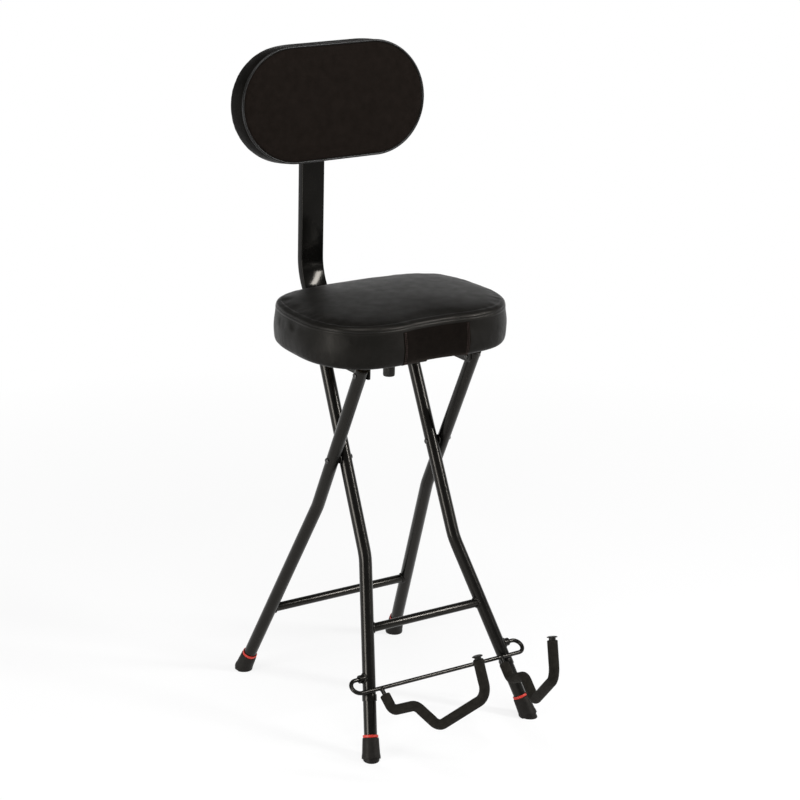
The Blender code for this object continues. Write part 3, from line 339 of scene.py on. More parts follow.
# Two tones over a drift pattern. Roughness is even, or a range over the mottle or else over the drift. Bumps lie
# one over the other: pattern, or None for the drift, height in metres and, where given, the value that is full height
def finish(name, tones, drift, rough, bumps, mottle=None, band=(0.35, 0.65), **sockets):
    even = not isinstance(rough, tuple)
    material = plainFinish(name, tones[0], rough if even else rough[0], **sockets)
    main = patternOn(material, **drift)
    linked = {"Base Color": toned(material, main.outputs["Fac"], *tones, *band)}
    if not even:
        spread = patternOn(material, **mottle) if mottle else main
        linked["Roughness"] = ranged(material, spread.outputs["Fac"], *rough)
    under = {}
    for pattern, height, *full in bumps:
        texture = patternOn(material, **pattern) if pattern else main
        value = texture.outputs["Distance" if "Distance" in texture.outputs else "Fac"]
        if full:
            value = ranged(material, value, 0.0, 1.0, 0.0, full[0])
        bump = nodeOn(material, "ShaderNodeBump", Strength=1.0, Distance=height, Height=value, **under)
        under = {"Normal": bump.outputs["Normal"]}
    for socket, value in {**linked, **under}.items():
        material.node_tree.links.new(value, material.node_tree.nodes["Principled BSDF"].inputs[socket])
    return material


# Strength of the reflections, tinted as plain white ones are in the photograph
def gloss(level, tint=(1.0, 0.94, 0.85, 1)):
    return {"Specular IOR Level": level, "Specular Tint": tint}


def powderCoat(name, rough, level):
    tones = ((0.0019, 0.0019, 0.0017), (0.0032, 0.0031, 0.0028))
    return finish(name, tones, noise(34, 3), rough, [(noise(260, 1), 0.000008)], noise(38, 2), **gloss(level))


# Vinyl: a slow pull of the cloth, leather cells and a fine grain
def vinylCloth(name, rough, level):
    tones = ((0.0036, 0.0034, 0.0029), (0.0064, 0.0059, 0.0053))
    bumps = [(noise(19, 2), 0.0004), (cells(760, feature="DISTANCE_TO_EDGE"), 0.00004, 0.12), (noise(2100, 3), 0.00002)]
    return finish(name, tones, noise(26, 4), rough, bumps, noise(60, 3), **gloss(level))


def suedeCloth(name, *tones):
    sheen = {"Sheen Weight": 0.06, "Sheen Roughness": 0.5, "Sheen Tint": (0.62, 0.5, 0.42, 1)}
    nap = [(noise(520, 3), 0.00012), (noise(2400, 4, Roughness=0.7), 0.00008)]
    return finish(
        name, tones, noise(70, 8, Roughness=0.65), 0.95, nap, band=(0.3, 0.7), **gloss(0.04, plain), **sheen)


def sewingThread(name, *tones):
    return finish(
        name, tones, noise(1800, 2), 0.6, [(None, 0.00005)], **gloss(0.3, plain), **{"Sheen Weight": 0.2})


plain = (1, 1, 1, 1)
finishes = {
    "powder": powderCoat("powderCoat", (0.21, 0.27), 0.25),
    "post": powderCoat("postCoat", (0.09, 0.12), 0.1),
    "vinyl": vinylCloth("vinylCloth", (0.35, 0.42), 0.095),
    "welt": vinylCloth("vinylWelt", (0.3, 0.36), 0.13),
    "side": vinylCloth("vinylSide", (0.34, 0.4), 0.012),
    "suede": suedeCloth("suedeCloth", (0.0043, 0.003, 0.0022), (0.0078, 0.0056, 0.0045)),
    "panel": suedeCloth("suedePanel", (0.0022, 0.0015, 0.0011), (0.004, 0.0029, 0.0022)),
    "thread": sewingThread("sewingThread", (0.024, 0.012, 0.009), (0.06, 0.03, 0.022)),
    "blackThread": sewingThread("blackThread", (0.006, 0.006, 0.0055), (0.012, 0.0115, 0.011)),
    "cord": finish(
        "pipingCord", ((0.0036, 0.0036, 0.0032), (0.0062, 0.006, 0.0054)), noise(90, 3), 0.36,
        [(noise(1500, 3), 0.00002)], **gloss(0.22, plain)),
    "foam": finish(
        "foamSkin", ((0.0063, 0.0056, 0.0043), (0.0108, 0.0096, 0.0075)), noise(120, 5), 0.85,
        [(cells(1150), 0.00016), (noise(2600, 3), 0.00006)], **gloss(0.15)),
    "rubber": finish(
        "mouldedRubber", ((0.0054, 0.0051, 0.0047), (0.0094, 0.0087, 0.0082)), noise(150, 5), (0.46, 0.64),
        [(noise(1500, 3), 0.00005)], **gloss(0.16)),
    "red": finish(
        "redRubber", ((0.37, 0.017, 0.01), (0.5, 0.03, 0.016)), noise(260, 4), 0.45,
        [(noise(1700, 2), 0.00004)], **gloss(0.4, plain)),
    "plastic": finish(
        "mouldedPlastic", ((0.0062, 0.0062, 0.0058), (0.0102, 0.01, 0.0094)), noise(190, 4), (0.33, 0.46),
        [(cells(1900), 0.00003)], **gloss(0.22)),
    "zinc": finish(
        "darkZinc", ((0.035, 0.034, 0.033), (0.085, 0.083, 0.08)), noise(420, 5), (0.28, 0.48),
        [(noise(2300, 2), 0.00002)], Metallic=0.85),
    "ply": finish(
        "birchPly", ((0.3, 0.19, 0.1), (0.52, 0.38, 0.24)),
        noise(9, 7, stretch=(1.0, 26.0, 26.0), Roughness=0.62, Distortion=0.4), 0.62,
        [(None, 0.00012), (noise(60, 4, stretch=(1.0, 30.0, 30.0)), 0.00006)], band=(0.32, 0.68)),
    "staple": finish(
        "stapleSteel", ((0.42, 0.41, 0.4), (0.62, 0.61, 0.59)), noise(700, 4), 0.3, [(None, 0.00003)], Metallic=1.0),
}
for part in frame["record"]["subparts"]:
    materials = frame["nodes"][part["node"]].data.materials
    materials.clear()
    materials.append(finishes[slots[part["material_slot"]][0]])
print("finishes made")


legs = {
    "front": {"lean": 1, "foot": 0.1636, "bend": 0.302, "half": 0.0889, "taper": 0.015, "top": 0.632},
    "rear": {"lean": -1, "foot": 0.1635, "bend": 0.359, "half": 0.1136, "taper": 0.0, "top": 0.64},
    "bendRadius": 0.12, "endRise": 0.012,
}
# Rings of a foot from the floor up: radius, distance along the leg, least rise over the level cut
footLook = {"height": 0.0366, "inset": 0.004, "rings": (
    (0.0130, -0.02, 0.0), (0.0136, -0.02, 0.0003), (0.0138, -0.02, 0.0009), (0.0138, 0.0018, 0.0009),
    (0.0154, 0.0019, 0.0), (0.0159, 0.0021, 0.0002), (0.0160, 0.0026, 0.0007), (0.0160, 0.0058, 0.001),
    (0.0151, 0.0116, 0.0012), (0.0145, 0.0238, 0.0012), (0.0139, 0.0352, 0.0012), (0.0137, 0.0361, 0.0012),
    (0.0132, 0.0366, 0.0012), (0.0113, 0.0366, 0.0012))}
ringLook = {"radius": 0.0131, "height": 0.0047, "ease": 0.0009}


# Leg's line from its foot: straight to a bend, then straight to its top
def legPath(prefix, side):
    look = legs[prefix]
    foot = onFrame(look["lean"], side * look["foot"], 0)
    corner, top = (
        onFrame(look["lean"], side * (look["half"] - look["taper"] * (height - stool["crossing"])), height)
        for height in (look["bend"], look["top"]))
    rise = unit(corner - foot)
    return foot, corner, top, rise, roundedPath([foot + rise * legs["endRise"], corner, top], [legs["bendRadius"]])


# Foot: round rings square to the leg, each point kept at least at the level cut through z = 0
def rubberFoot(foot, rise, count=48):
    side = unit(np.cross(rise, (0, 0, 1)))
    spokes = squareTo(rise, side, circle(count))
    radius, along, least = np.array(footLook["rings"]).T[..., None]
    distance = np.maximum(along, -radius * spokes[:, 2] / rise[2] + least)
    points = foot + distance[..., None] * rise + radius[..., None] * spokes
    inner = points[-1:] - rise * footLook["inset"]
    return gridMesh(np.concatenate([middleOf(points[:1]), points, inner, middleOf(inner)]))


lowerRuns = {}
for prefix in ("front", "rear"):
    body = prefix + "_frame"
    for label, side in sides:
        foot, corner, top, rise, path = legPath(prefix, side)
        lowerRuns[prefix, label] = (foot, corner, top, rise)
        tube = hollowTube(path, stool["tube"], stool["wall"])
        addPiece(f"{prefix}Tube_{label}", tube, "powder", body, [f"{prefix}_leg_{label}"])
        addPiece(f"{prefix}Foot_{label}", rubberFoot(foot, rise), "rubber", body, [f"{prefix}_foot_{label}"])
        half, radius, tall = stool["tube"] + stool["gap"], ringLook["radius"], ringLook["height"]
        ring = easedProfile([(half, 0), (radius, 0), (radius, tall), (half, tall), (half, tall / 2)], ringLook["ease"])
        base = foot + rise * (footLook["height"] + stool["gap"])
        addPiece(f"{prefix}Ring_{label}", turned(ring, base, rise, count=48), "red", body, [f"{prefix}_ring_{label}"])

barLook = {"radius": 0.0076, "sink": 0.0011, "edge": 0.0002, "bead": 0.0021, "ripples": 20}
for name, node, prefix, height in (
        ("frontCrossbar", "front_crossbar", "front", 0.1933), ("rearCrossbar", "rear_crossbar", "rear", 0.1364),
        ("frontTopBar", "front_top_bar", "front", 0.607)):
    ends, directions = [], []
    for label, side in sides:
        foot, corner, top, rise = lowerRuns[prefix, label]
        low, high = (corner, top) if height > legs[prefix]["bend"] else (foot, corner)
        ends.append(low + (high - low) * (height - low[2]) / (high[2] - low[2]))
        directions.append(unit(high - low))
    line = unit(ends[1] - ends[0])
    reach = line * (stool["tube"] - barLook["sink"])        # the bar's end runs into the leg's skin, under its weld
    path = np.linspace(ends[0] + reach, ends[1] - reach, 5)
    bar = roundBar(path, barLook["radius"], 36, barLook["edge"], (0, 0, 1))
    addPiece(name, bar, "powder", prefix + "_frame", [node])
    for (label, side), end, direction in zip(sides, ends, directions):
        bead = weldBead(
            path[2], line * side, barLook["radius"], end, direction, stool["tube"], barLook["bead"], barLook["ripples"])
        addPiece(f"{name}Weld_{label}", bead, "powder", prefix + "_frame")
print("legs made")


rivetLook = {"head": 0.005, "headHeight": 0.003, "tailHeight": 0.0018, "shank": 0.0032}
washer = {"radius": 0.0085, "thick": 0.0019, "bore": 0.0034}
plateThick = 0.003


# Head as a flattened dome: radius follows the cosine and height the sine of an angle
def domedRivet(place, axis, grip, headHeight):
    angle = np.linspace(0, math.pi / 2, 9)
    head, shank, tailHeight = rivetLook["head"], rivetLook["shank"], rivetLook["tailHeight"]
    dome = np.stack([head * np.cos(angle) ** 0.7, headHeight * np.sin(angle)], 1)[::-1]
    tail = np.stack([head * 0.96 * np.cos(angle) ** 0.6, -grip - tailHeight * np.sin(angle)], 1)
    profile = np.concatenate([dome, [[head, 0], [shank, 0], [shank, -grip]], tail])
    profile[0, 0] = profile[-1, 0] = 0
    return turned(profile, place, axis, count=36)


tube, gap, frontHalf = stool["tube"], stool["gap"], legs["front"]["half"]
rearHalf = frontHalf + 2 * tube + washer["thick"] + 2 * gap
rivets = (
    ("crossingRivet", "crossing_rivet", (stool["back"], stool["crossing"]), rearHalf - frontHalf + 2 * tube + 2 * gap,
     rivetLook["headHeight"]),
    ("hingeRivet", "seat_rivet", onFrame(-1, 0, 0.63)[1:], 2 * tube + plateThick + 3 * gap, rivetLook["tailHeight"]))
for label, side in sides:
    for name, node, place, grip, headHeight in rivets:
        outside = np.array([side * (rearHalf + tube + gap / 2), *place])
        rivet = domedRivet(outside, (side, 0, 0), grip, headHeight)
        addPiece(f"{name}_{label}", rivet, "zinc", "rear_frame", [f"{node}_{label}"])


cradle = {
    "rod": 0.0036, "height": 0.1085, "hinge": 0.122, "loopReach": 0.175, "half": 0.124, "reach": 0.2225,
    "rise": 0.1245, "bend": 0.02,
    "corners": (
        (0.148, 0.98, -0.227, 0.75), (0.382, 0.9, 0.0, 1.1), (0.6, 0.79, -0.175, 1.0), (1.0, 0.552, 0.492, 1.6)),
    "tip": (0.908, 0.605, 1.0), "foam": 0.0088, "foamStart": 0.0146, "foamEnd": 0.006, "cap": 0.009, "capThick": 0.002}
foot, corner, top, rise = lowerRuns["front", "right"]
across = math.sqrt(1 - rise[0] ** 2)
rodY = onFrame(1, 0, cradle["height"])[1] - (tube + cradle["rod"] + gap) * across / rise[2]
cradleHinge = onFrame(1, 0, cradle["hinge"])
rodPlace = np.array([0, rodY, cradle["height"]])
wireX = foot[0] + (corner[0] - foot[0]) * cradle["hinge"] / corner[2]

# Washers between the tubes, the cradle's bushes and stop collars on the front legs
bush = {"radius": 0.007, "length": 0.009, "bore": 0.0039, "height": 0.122}
collar = {"wall": 0.0013, "length": 0.0105, "contact": 0.1085, "drop": 0.0075, "clear": 0.0001}


# Profile of a sleeve from its base up, its edges eased
def sleeve(inner, outer, length, ease):
    return easedProfile([(inner, 0), (outer, 0), (outer, length), (inner, length), (inner, 0)], ease)


for label, side in sides:
    ring = sleeve(washer["bore"], washer["radius"], washer["thick"], ease=0.0004)
    ring = turned(ring, (side * (frontHalf + tube + gap), stool["back"], stool["crossing"]), (side, 0, 0))
    addPiece(f"crossingWasher_{label}", ring, "plastic", "rear_frame", [f"crossing_washer_{label}"])
    foot, corner, top, rise = lowerRuns["front", label]
    place = foot + (corner - foot) * bush["height"] / corner[2]
    outer = tube + bush["length"]
    ring = turned(sleeve(bush["bore"], bush["radius"], outer, ease=0.0008), place, (side, 0, 0))
    addPiece(f"cradleBush_{label}", ring, "powder", "front_frame", [f"cradle_bush_{label}"])
    bead = weldBead(
        place + (side * outer, 0, 0), (-side, 0, 0), bush["radius"], place, rise, tube, bead=0.0019, ripples=18)
    addPiece(f"cradleBushWeld_{label}", bead, "powder", "front_frame")
    contact = foot + (corner - foot) * collar["contact"] / corner[2]
    start = contact + rise * ((rodY - contact[1]) * rise[1] - collar["drop"] - collar["length"])
    ring = sleeve(tube + collar["clear"], tube + collar["wall"], collar["length"], ease=0.0005)
    ring = turned(ring, start, rise, count=48)
    addPiece(f"restCollar_{label}", ring, "powder", "front_frame", [f"rest_collar_{label}"])
    angles = fullTurn(120)
    ripple = 0.0009 * (1 + 0.12 * np.abs(np.sin(angles * 15)) + 0.1 * np.sin(angles * 3))
    spoke = unit(np.cross(rise, (0, 0, 1)))
    spokes = squareTo(rise, spoke, circle(120))
    line = start + rise * collar["length"] + spokes * (tube + gap)
    bead = line[:, None] + ripple[:, None, None] * spreadOn(circle(10), spokes, rise)
    addPiece(f"restCollarWeld_{label}", gridMesh(bead, wrapRings=True), "powder", "front_frame")

post = {
    "width": 0.045, "depth": 0.015, "wall": 0.0014, "corner": 0.002, "back": 0.2625, "level": 0.639,
    "bend": 0.1, "front": -0.073, "top": 1.066}


# Box section with rounded corners
def roundedBox(width, depth, corner, steps=5):
    points = []
    for quarter, (x, y) in enumerate(((1, 1), (-1, 1), (-1, -1), (1, -1))):
        angle = (quarter + np.linspace(0, 1, steps + 1)) * math.pi / 2
        points.append(np.stack([
            x * (width / 2 - corner) + corner * np.cos(angle), y * (depth / 2 - corner) + corner * np.sin(angle)], 1))
    return np.concatenate(points)


# Flat tube: the section's outside along the path, then its inside back, closed on itself
def flatTube(path):
    place, along = stationsOn(path, pathDistances(path))
    side = np.array([1.0, 0, 0])
    outside, inside = (
        place[:, None] + squareTo(
            along, side, roundedBox(post["width"] - 2 * wall, post["depth"] - 2 * wall, post["corner"] - wall))
        for wall in (0, post["wall"]))
    return gridMesh(np.concatenate([outside, inside[::-1]]), wrapRings=True)


postBack = post["back"] + stool["back"]
postPath = roundedPath(
    [(0, post["front"] + stool["back"], post["level"]), (0, postBack, post["level"]), (0, postBack, post["top"])],
    [post["bend"]], math.radians(3))
addPiece("backrestPost", flatTube(postPath), "post", "backrest", ["backrest_post"])
print("post made")


knob = {"radius": 0.0102, "height": 0.026, "bottom": 0.588, "back": 0.005, "ribs": 18, "ribDepth": 0.0004}


# Ribbed knob: the wall's radius dips with the cosine of half the rib count times the angle
def ribbedKnob():
    r, h, ribs = knob["radius"], knob["height"], knob["ribs"]
    profile = easedProfile([
        (0, 0.0006), (r * 0.62, 0.0006), (r * 0.7, 0), (r - 0.0004, 0), (r, 0.0026), (r, h - 0.003),
        (r - 0.0016, h), (0.0046, h), (0.0046, h - 0.006), (0, h - 0.006)], radius=0.0008, steps=4)
    angle = fullTurn(ribs * 8)
    ribbed = (profile[:, 0] > r * 0.97) & (profile[:, 1] > 0.003) & (profile[:, 1] < h - 0.0025)
    radius = profile[:, :1] - ribbed[:, None] * knob["ribDepth"] * (1 - np.abs(np.cos(angle * ribs / 2))) ** 2
    points = np.stack(np.broadcast_arrays(radius * np.cos(angle), radius * np.sin(angle), profile[:, 1:]), -1)
    return gridMesh(points + (0, knob["back"] + stool["back"], knob["bottom"]))


addPiece("clampKnob", ribbedKnob(), "plastic", "knob", ["clamp_knob"])


# Rod: straight between two half circles, whose ends turn in to the hinge axis
def cradleRodPath():
    spread = rodPlace - cradleHinge
    loopRadius = np.linalg.norm(spread) / 2
    angle = np.linspace(0, math.pi, 25)[:, None]
    halves = []
    for side in (-1, 1):
        outward = np.array([side, 0, 0]) * (cradle["loopReach"] - loopRadius + np.sin(angle) * loopRadius)
        swing = unit(spread) * -np.cos(angle) * loopRadius
        lead = cradleHinge + (side * (wireX - cradle["rod"]), 0, 0)
        halves.append(np.concatenate([lead[None], cradleHinge + spread / 2 + outward + swing]))
    return np.concatenate([halves[0], halves[1][::-1]])


rod = roundBar(cradleRodPath(), cradle["rod"], 24, first=(0, 0, 1))
addPiece("cradleRod", rod, "powder", "cradle", ["cradle_rod"])


# Arm's line from the rod: shares of its reach, half width and rise, and of its bend's radius
def armPath(side):
    corners = [rodPlace + (side * cradle["half"], 0, 0)]
    for reach, width, height, _ in (*cradle["corners"], (*cradle["tip"], 0)):
        corners.append(np.array([
            side * cradle["half"] * width, rodY - cradle["reach"] * reach, cradle["height"] + cradle["rise"] * height]))
    return roundedPath(corners, [cradle["bend"] * share for *_, share in cradle["corners"]])


# Foam sleeve: a tube whose radius swells and creases a little where the arm bends under it
def foamSleeve(path, edge=0.0012, crease=0.0052):
    distances = np.linspace(cradle["foamStart"], travelled(path)[-1] - cradle["foamEnd"], 190)
    place, along = stationsOn(path, distances)
    side = carriedSides(along, (1, 0, 0))
    spokes = squareTo(along, side, circle(40))
    bend = np.gradient(along, distances, axis=0)
    pressed = np.clip((spokes * bend[:, None]).sum(-1) / 30, 0, 1)                 # over 0 inside a bend
    wave = np.sin(distances * 2 * math.pi / crease)[:, None]
    outside = place[:, None] + (cradle["foam"] + pressed * (0.00028 * wave - 0.00035))[..., None] * spokes
    angle = np.linspace(0, math.pi / 2, 5)[:, None, None]
    ends = []
    for k, way in ((0, -1), (-1, 1)):
        rings = outside[k] - edge * (1 - np.cos(angle)) * spokes[k] + way * along[k] * edge * np.sin(angle)
        bore = (place[k] + (cradle["rod"] + 0.0001) * spokes[k] + way * along[k] * edge)[None]
        ends.append(np.concatenate([rings, bore, middleOf(bore)])[::way])
    return gridMesh(np.concatenate([ends[0], outside[1:-1], ends[1]]))


for label, side in sides:
    path = armPath(side)
    arm = roundBar(path, cradle["rod"], 24, edge=0.0003)
    addPiece(f"cradleArm_{label}", arm, "powder", "cradle", [f"cradle_arm_{label}"])
    direction = unit(path[1] - path[0])
    bead = weldBead(
        path[0] + direction * 0.03, -direction, cradle["rod"], path[0], (1, 0, 0), cradle["rod"],
        bead=0.001, ripples=16)
    addPiece(f"cradleArmWeld_{label}", bead, "powder", "cradle")
    foam = addPiece(f"cradleFoam_{label}", foamSleeve(path), "foam", "cradle", [f"cradle_foam_{label}"])
    r, thick, stem, deep = cradle["cap"], cradle["capThick"], 0.0058, -0.0052
    profile = easedProfile([
        (0, thick), (r * 0.75, thick), (r, thick * 0.45), (r, 0), (stem, 0), (stem, deep), (0, deep)], radius=0.0006)
    cap = turned(profile, path[-1], path[-1] - path[-2])
    addPiece(f"cradleCap_{label}", cap, "plastic", "cradle", [f"cradle_cap_{label}"])
print("cradle made")


seat = {
    "halfWidth": 0.187, "halfDepth": 0.133, "forward": 0.006, "height": 0.0685, "crown": 0.0109,
    "swell": 0.0005, "cap": 0.0014, "voxel": 0.004, "wrinkle": 0.0003,
    "outline": (
        (0.0, -0.97), (0.2, -0.985), (0.42, -1.025), (0.69, -0.955), (0.885, -0.73),
        (0.985, -0.39), (0.995, 0.0), (0.97, 0.38), (0.88, 0.7), (0.66, 0.91), (0.33, 0.98), (0.0, 1.0)),
}
pad = {
    "halfWidth": 0.181, "halfHeight": 0.0975, "end": 0.102, "thick": 0.044, "rise": 1.0213,
    "tilt": math.radians(8), "standoff": 0.0237, "swell": 0.0004, "cap": 0.0009, "voxel": 0.004,
}


# Closed Catmull-Rom curve through the outline's points, each span cut into equal steps
def closedCurve(points, steps):
    points = np.asarray(points, float)
    before, start, end, after = (np.roll(points, shift, 0)[:, None] for shift in (1, 0, -1, -2))
    t = (np.arange(steps) / steps)[None, :, None]
    curve = 0.5 * (
        2 * start + (end - before) * t + (2 * before - 5 * start + 4 * end - after) * t ** 2
        + (3 * start - before - 3 * end + after) * t ** 3)
    return curve.reshape(-1, 2)


# Closed curve cut again into equal steps of its own length
def evenly(curve, count):
    closed = np.concatenate([curve, curve[:1]])
    total = travelled(closed)
    return between(np.linspace(0, total[-1], count + 1)[:-1], total, closed)


# Outline moved outward by a distance along its own normals
def offsetCurve(curve, distance):
    tangent = aheadOn(curve)
    return curve + np.reshape(distance, (-1, 1)) * np.stack([tangent[:, 1], -tangent[:, 0]], 1)


def atHeight(curve, height):
    return np.column_stack([curve, np.broadcast_to(height, len(curve))])


def seatCurve(count):
    half = np.array(seat["outline"]) * (seat["halfWidth"], seat["halfDepth"])
    half[:, 1] += seat["forward"] + stool["back"]
    mirrored = half[-2:0:-1] * (-1, 1)
    return evenly(closedCurve(np.concatenate([half, mirrored]), 80), count)


# Two half circles stretched to the end's own width, joined by straight runs
def padCurve(count):
    straight = pad["halfWidth"] - pad["end"]
    angle = (np.linspace(0, 1, 721) - 0.5) * math.pi
    right = np.stack([straight + pad["end"] * np.cos(angle), pad["halfHeight"] * np.sin(angle)], 1)
    return evenly(np.concatenate([right, -right]), count)


# Stuffed shape: a flat underside, walls from (outward, height) pairs, then shrinking rings up to a crown
def stuffedShape(curve, walls, crown, shares, power):
    centre = curve.mean(0)
    rings = [atHeight(centre + (curve - centre) * share, walls[0][1]) for share in (0.0, 0.35, 0.7)]
    rings += [atHeight(offsetCurve(curve, outward), height) for outward, height in walls]
    top = rings[-1]
    for share in shares:
        rings.append(atHeight(centre + (top[:, :2] - centre) * share, top[:, 2] + crown * (1 - share ** power)))
    return np.stack(rings)


# A vector of every vertex or face, as rows
def rowsOf(items, attribute):
    flat = np.zeros(len(items) * 3)
    items.foreach_get(attribute, flat)
    return flat.reshape(-1, 3)


def evaluated(piece):
    return bpy.data.meshes.new_from_object(piece.evaluated_get(bpy.context.evaluated_depsgraph_get()))


# Cloth run on a stuffed shape: voxel remesh, pressure with no gravity, each point's movement capped
def inflate(name, mesh, look, held, pressure, steps=20):
    piece = inScene(name, mesh)
    remesh = piece.modifiers.new("remesh", "REMESH")
    remesh.mode, remesh.voxel_size = "VOXEL", look["voxel"]
    start = evaluated(piece)
    piece.modifiers.clear()
    piece.data = start
    rest = moved = rowsOf(start.vertices, "co")
    group = piece.vertex_groups.new(name="held")
    group.add(np.nonzero(held(rest))[0].tolist(), 1.0, "REPLACE")
    cloth = piece.modifiers.new("cloth", "CLOTH")
    cloth.point_cache.frame_start, cloth.point_cache.frame_end = 1, steps
    settings = cloth.settings
    settings.quality, settings.mass, settings.vertex_group_mass = 5, 0.3, "held"
    settings.tension_stiffness = settings.compression_stiffness = 20
    settings.bending_stiffness = 0.5
    settings.use_pressure, settings.uniform_pressure_force = True, pressure
    settings.effector_weights.gravity = 0
    for step in range(1, steps + 1):
        bpy.context.scene.frame_set(step)
    moved = rowsOf(evaluated(piece).vertices, "co")
    piece.modifiers.clear()
    bpy.context.scene.frame_set(1)
    shift = moved - rest
    length = np.linalg.norm(shift, axis=1, keepdims=True)
    shift *= np.minimum(1, look["cap"] / np.maximum(length, 1e-9))
    most, mean = length.max() * 1000, length.mean() * 1000
    print(f"{name}: {len(rest)} points, cloth moved up to {most:.1f} mm, {mean:.1f} on average")
    start.vertices.foreach_set("co", (rest + shift).ravel())
    start.update()
    bpy.data.objects.remove(piece)
    return start


# A mesh smoothed and divided once
def settled(mesh, smooth):
    piece = inScene("settling", mesh)
    even = piece.modifiers.new("even", "SMOOTH")
    even.factor, even.iterations = 0.5, smooth
    finer = piece.modifiers.new("finer", "SUBSURF")
    finer.levels = finer.render_levels = 1
    result = evaluated(piece)
    bpy.data.objects.remove(piece)
    return result


def meshTree(mesh):
    return BVHTree.FromPolygons(
        [Vector(point) for point in rowsOf(mesh.vertices, "co")], [tuple(face.vertices) for face in mesh.polygons])


# Points laid on a cushion: each one's nearest spot on it, lifted along the surface normal there
def laidOn(tree, points, lift):
    flat = np.asarray(points, float).reshape(-1, 3)
    found = [tree.find_nearest(Vector(point)) for point in flat]
    place = np.array([hit[0][:] for hit in found])
    normal = np.array([hit[1][:] for hit in found])
    lifted = place + normal * np.broadcast_to(lift, np.shape(points)[:-1]).reshape(-1, 1)
    return lifted.reshape(np.shape(points)), normal.reshape(np.shape(points))


# Strip laid on a cushion: a grid lifted by its own profile, closed by an underside sunk a little
def laidStrip(tree, points, lift, sunk=0.0008, closedLine=True):
    top, normal = laidOn(tree, points, lift)
    under = top[:, ::-1] - normal[:, ::-1] * (np.broadcast_to(lift, points.shape[:-1])[:, ::-1, None] + sunk)
    grid = np.concatenate([top, under], 1)
    if not closedLine:
        ends = middleOf(grid[[0, -1]])
        grid = np.concatenate([ends[:1], grid, ends[1:]])
    return gridMesh(grid, closedLine)


# Many small rounded bars at once: each a row of rings whose radius follows sqrt(1 - t^6)
def smallBars(centres, directions, normals, length, radius):
    directions = unit(directions)
    normals = unit(normals - (normals * directions).sum(1, keepdims=True) * directions)
    t = np.array([-1.0, -0.86, -0.4, 0.4, 0.86, 1.0])
    size = radius * np.sqrt(np.maximum(1 - t ** 6, 0))
    spine = centres[:, None] + (t * length / 2)[:, None] * directions[:, None]
    spokes = squareTo(directions, normals, circle(6))
    points = spine[:, :, None] + size[:, None, None] * spokes[:, None]
    count, rings, across = points.shape[:3]
    faces = gridFaces(rings, across) + (np.arange(count) * rings * across)[:, None, None]
    return arrayMesh(points.reshape(-1, 3), faces.reshape(-1, 4), merge=1e-7)


# A row of stitches along a line of points laid on a cushion
def stitchRow(tree, line, pitch, radius, lift):
    steps = travelled(line)
    at = np.arange(pitch / 2, steps[-1], pitch)
    spots = between(at, steps, line)
    place, normal = laidOn(tree, spots, lift)
    return smallBars(place, between(at + pitch / 4, steps, line) - spots, normal, pitch * 0.74, radius)


# Seat padding: the solid's own walls a little in, ready to swell
base = stool["seatBase"]
seatLine = seatCurve(264)
swell, high = seat["swell"], seat["height"]
walls = (
    (-0.0165, 0.003), (-0.0115, 0), (-0.002, -0.0004), (0.0012, 0.0002), (0.004, 0.003), (0.0056, 0.0072),
    (0.0068 - swell, 0.013), (0.0076 - swell, 0.021), (0.0077 - swell, 0.032), (0.0068 - swell, 0.044),
    (0.0058 - swell, 0.055), (0.0053 - swell, 0.0612), (0.0046 - swell, 0.0657), (0.002, high + 0.0006),
    (-0.0032, high + 0.0032))
shape = stuffedShape(
    seatLine, [(outward, base + height) for outward, height in walls], seat["crown"],
    shares=(0.975, 0.94, 0.88, 0.78, 0.62, 0.42, 0.2, 0.0), power=2.3)
cushion = settled(inflate(
    "seatPadding", gridMesh(shape), seat, lambda rest: rest[:, 2] < base + 0.004, pressure=3.0), smooth=2)


# Cover's pulls: creases up the wall that die out with height, and slow waves over the top
def coverPulls(points):
    angle = np.arctan2(points[:, 1] - stool["back"], points[:, 0] * 0.72)
    height = np.clip((points[:, 2] - base) / high, 0, 1.3)
    corner = np.exp(-((np.abs(angle) % (math.pi / 2) - 0.75) / 0.42) ** 2)
    lean = angle * 31 + 2.2 * height + 1.4 * np.sin(angle * 9)
    crease = (np.abs(np.sin(lean)) ** 3 - 0.4) * np.exp(-((height - 0.16) / 0.24) ** 2) * (0.35 + corner)
    slow = 0.35 * np.sin(points[:, 0] * 33 + 1) * np.sin(points[:, 1] * 41 + 0.5) * np.clip(height - 0.9, 0, 0.3) / 0.3
    return seat["wrinkle"] * (crease + slow)


points = rowsOf(cushion.vertices, "co")
pulls = coverPulls(points) * np.clip((points[:, 2] - base - 0.003) / 0.006, 0, 1)
cushion.vertices.foreach_set("co", (points + rowsOf(cushion.vertices, "normal") * pulls[:, None]).ravel())
cushion.update()
addPiece("seatCushion", cushion, "vinyl", "seat", ["seat_cushion"], 70)
seatTree = meshTree(cushion)
print("seat cushion made:", len(cushion.polygons), "faces")

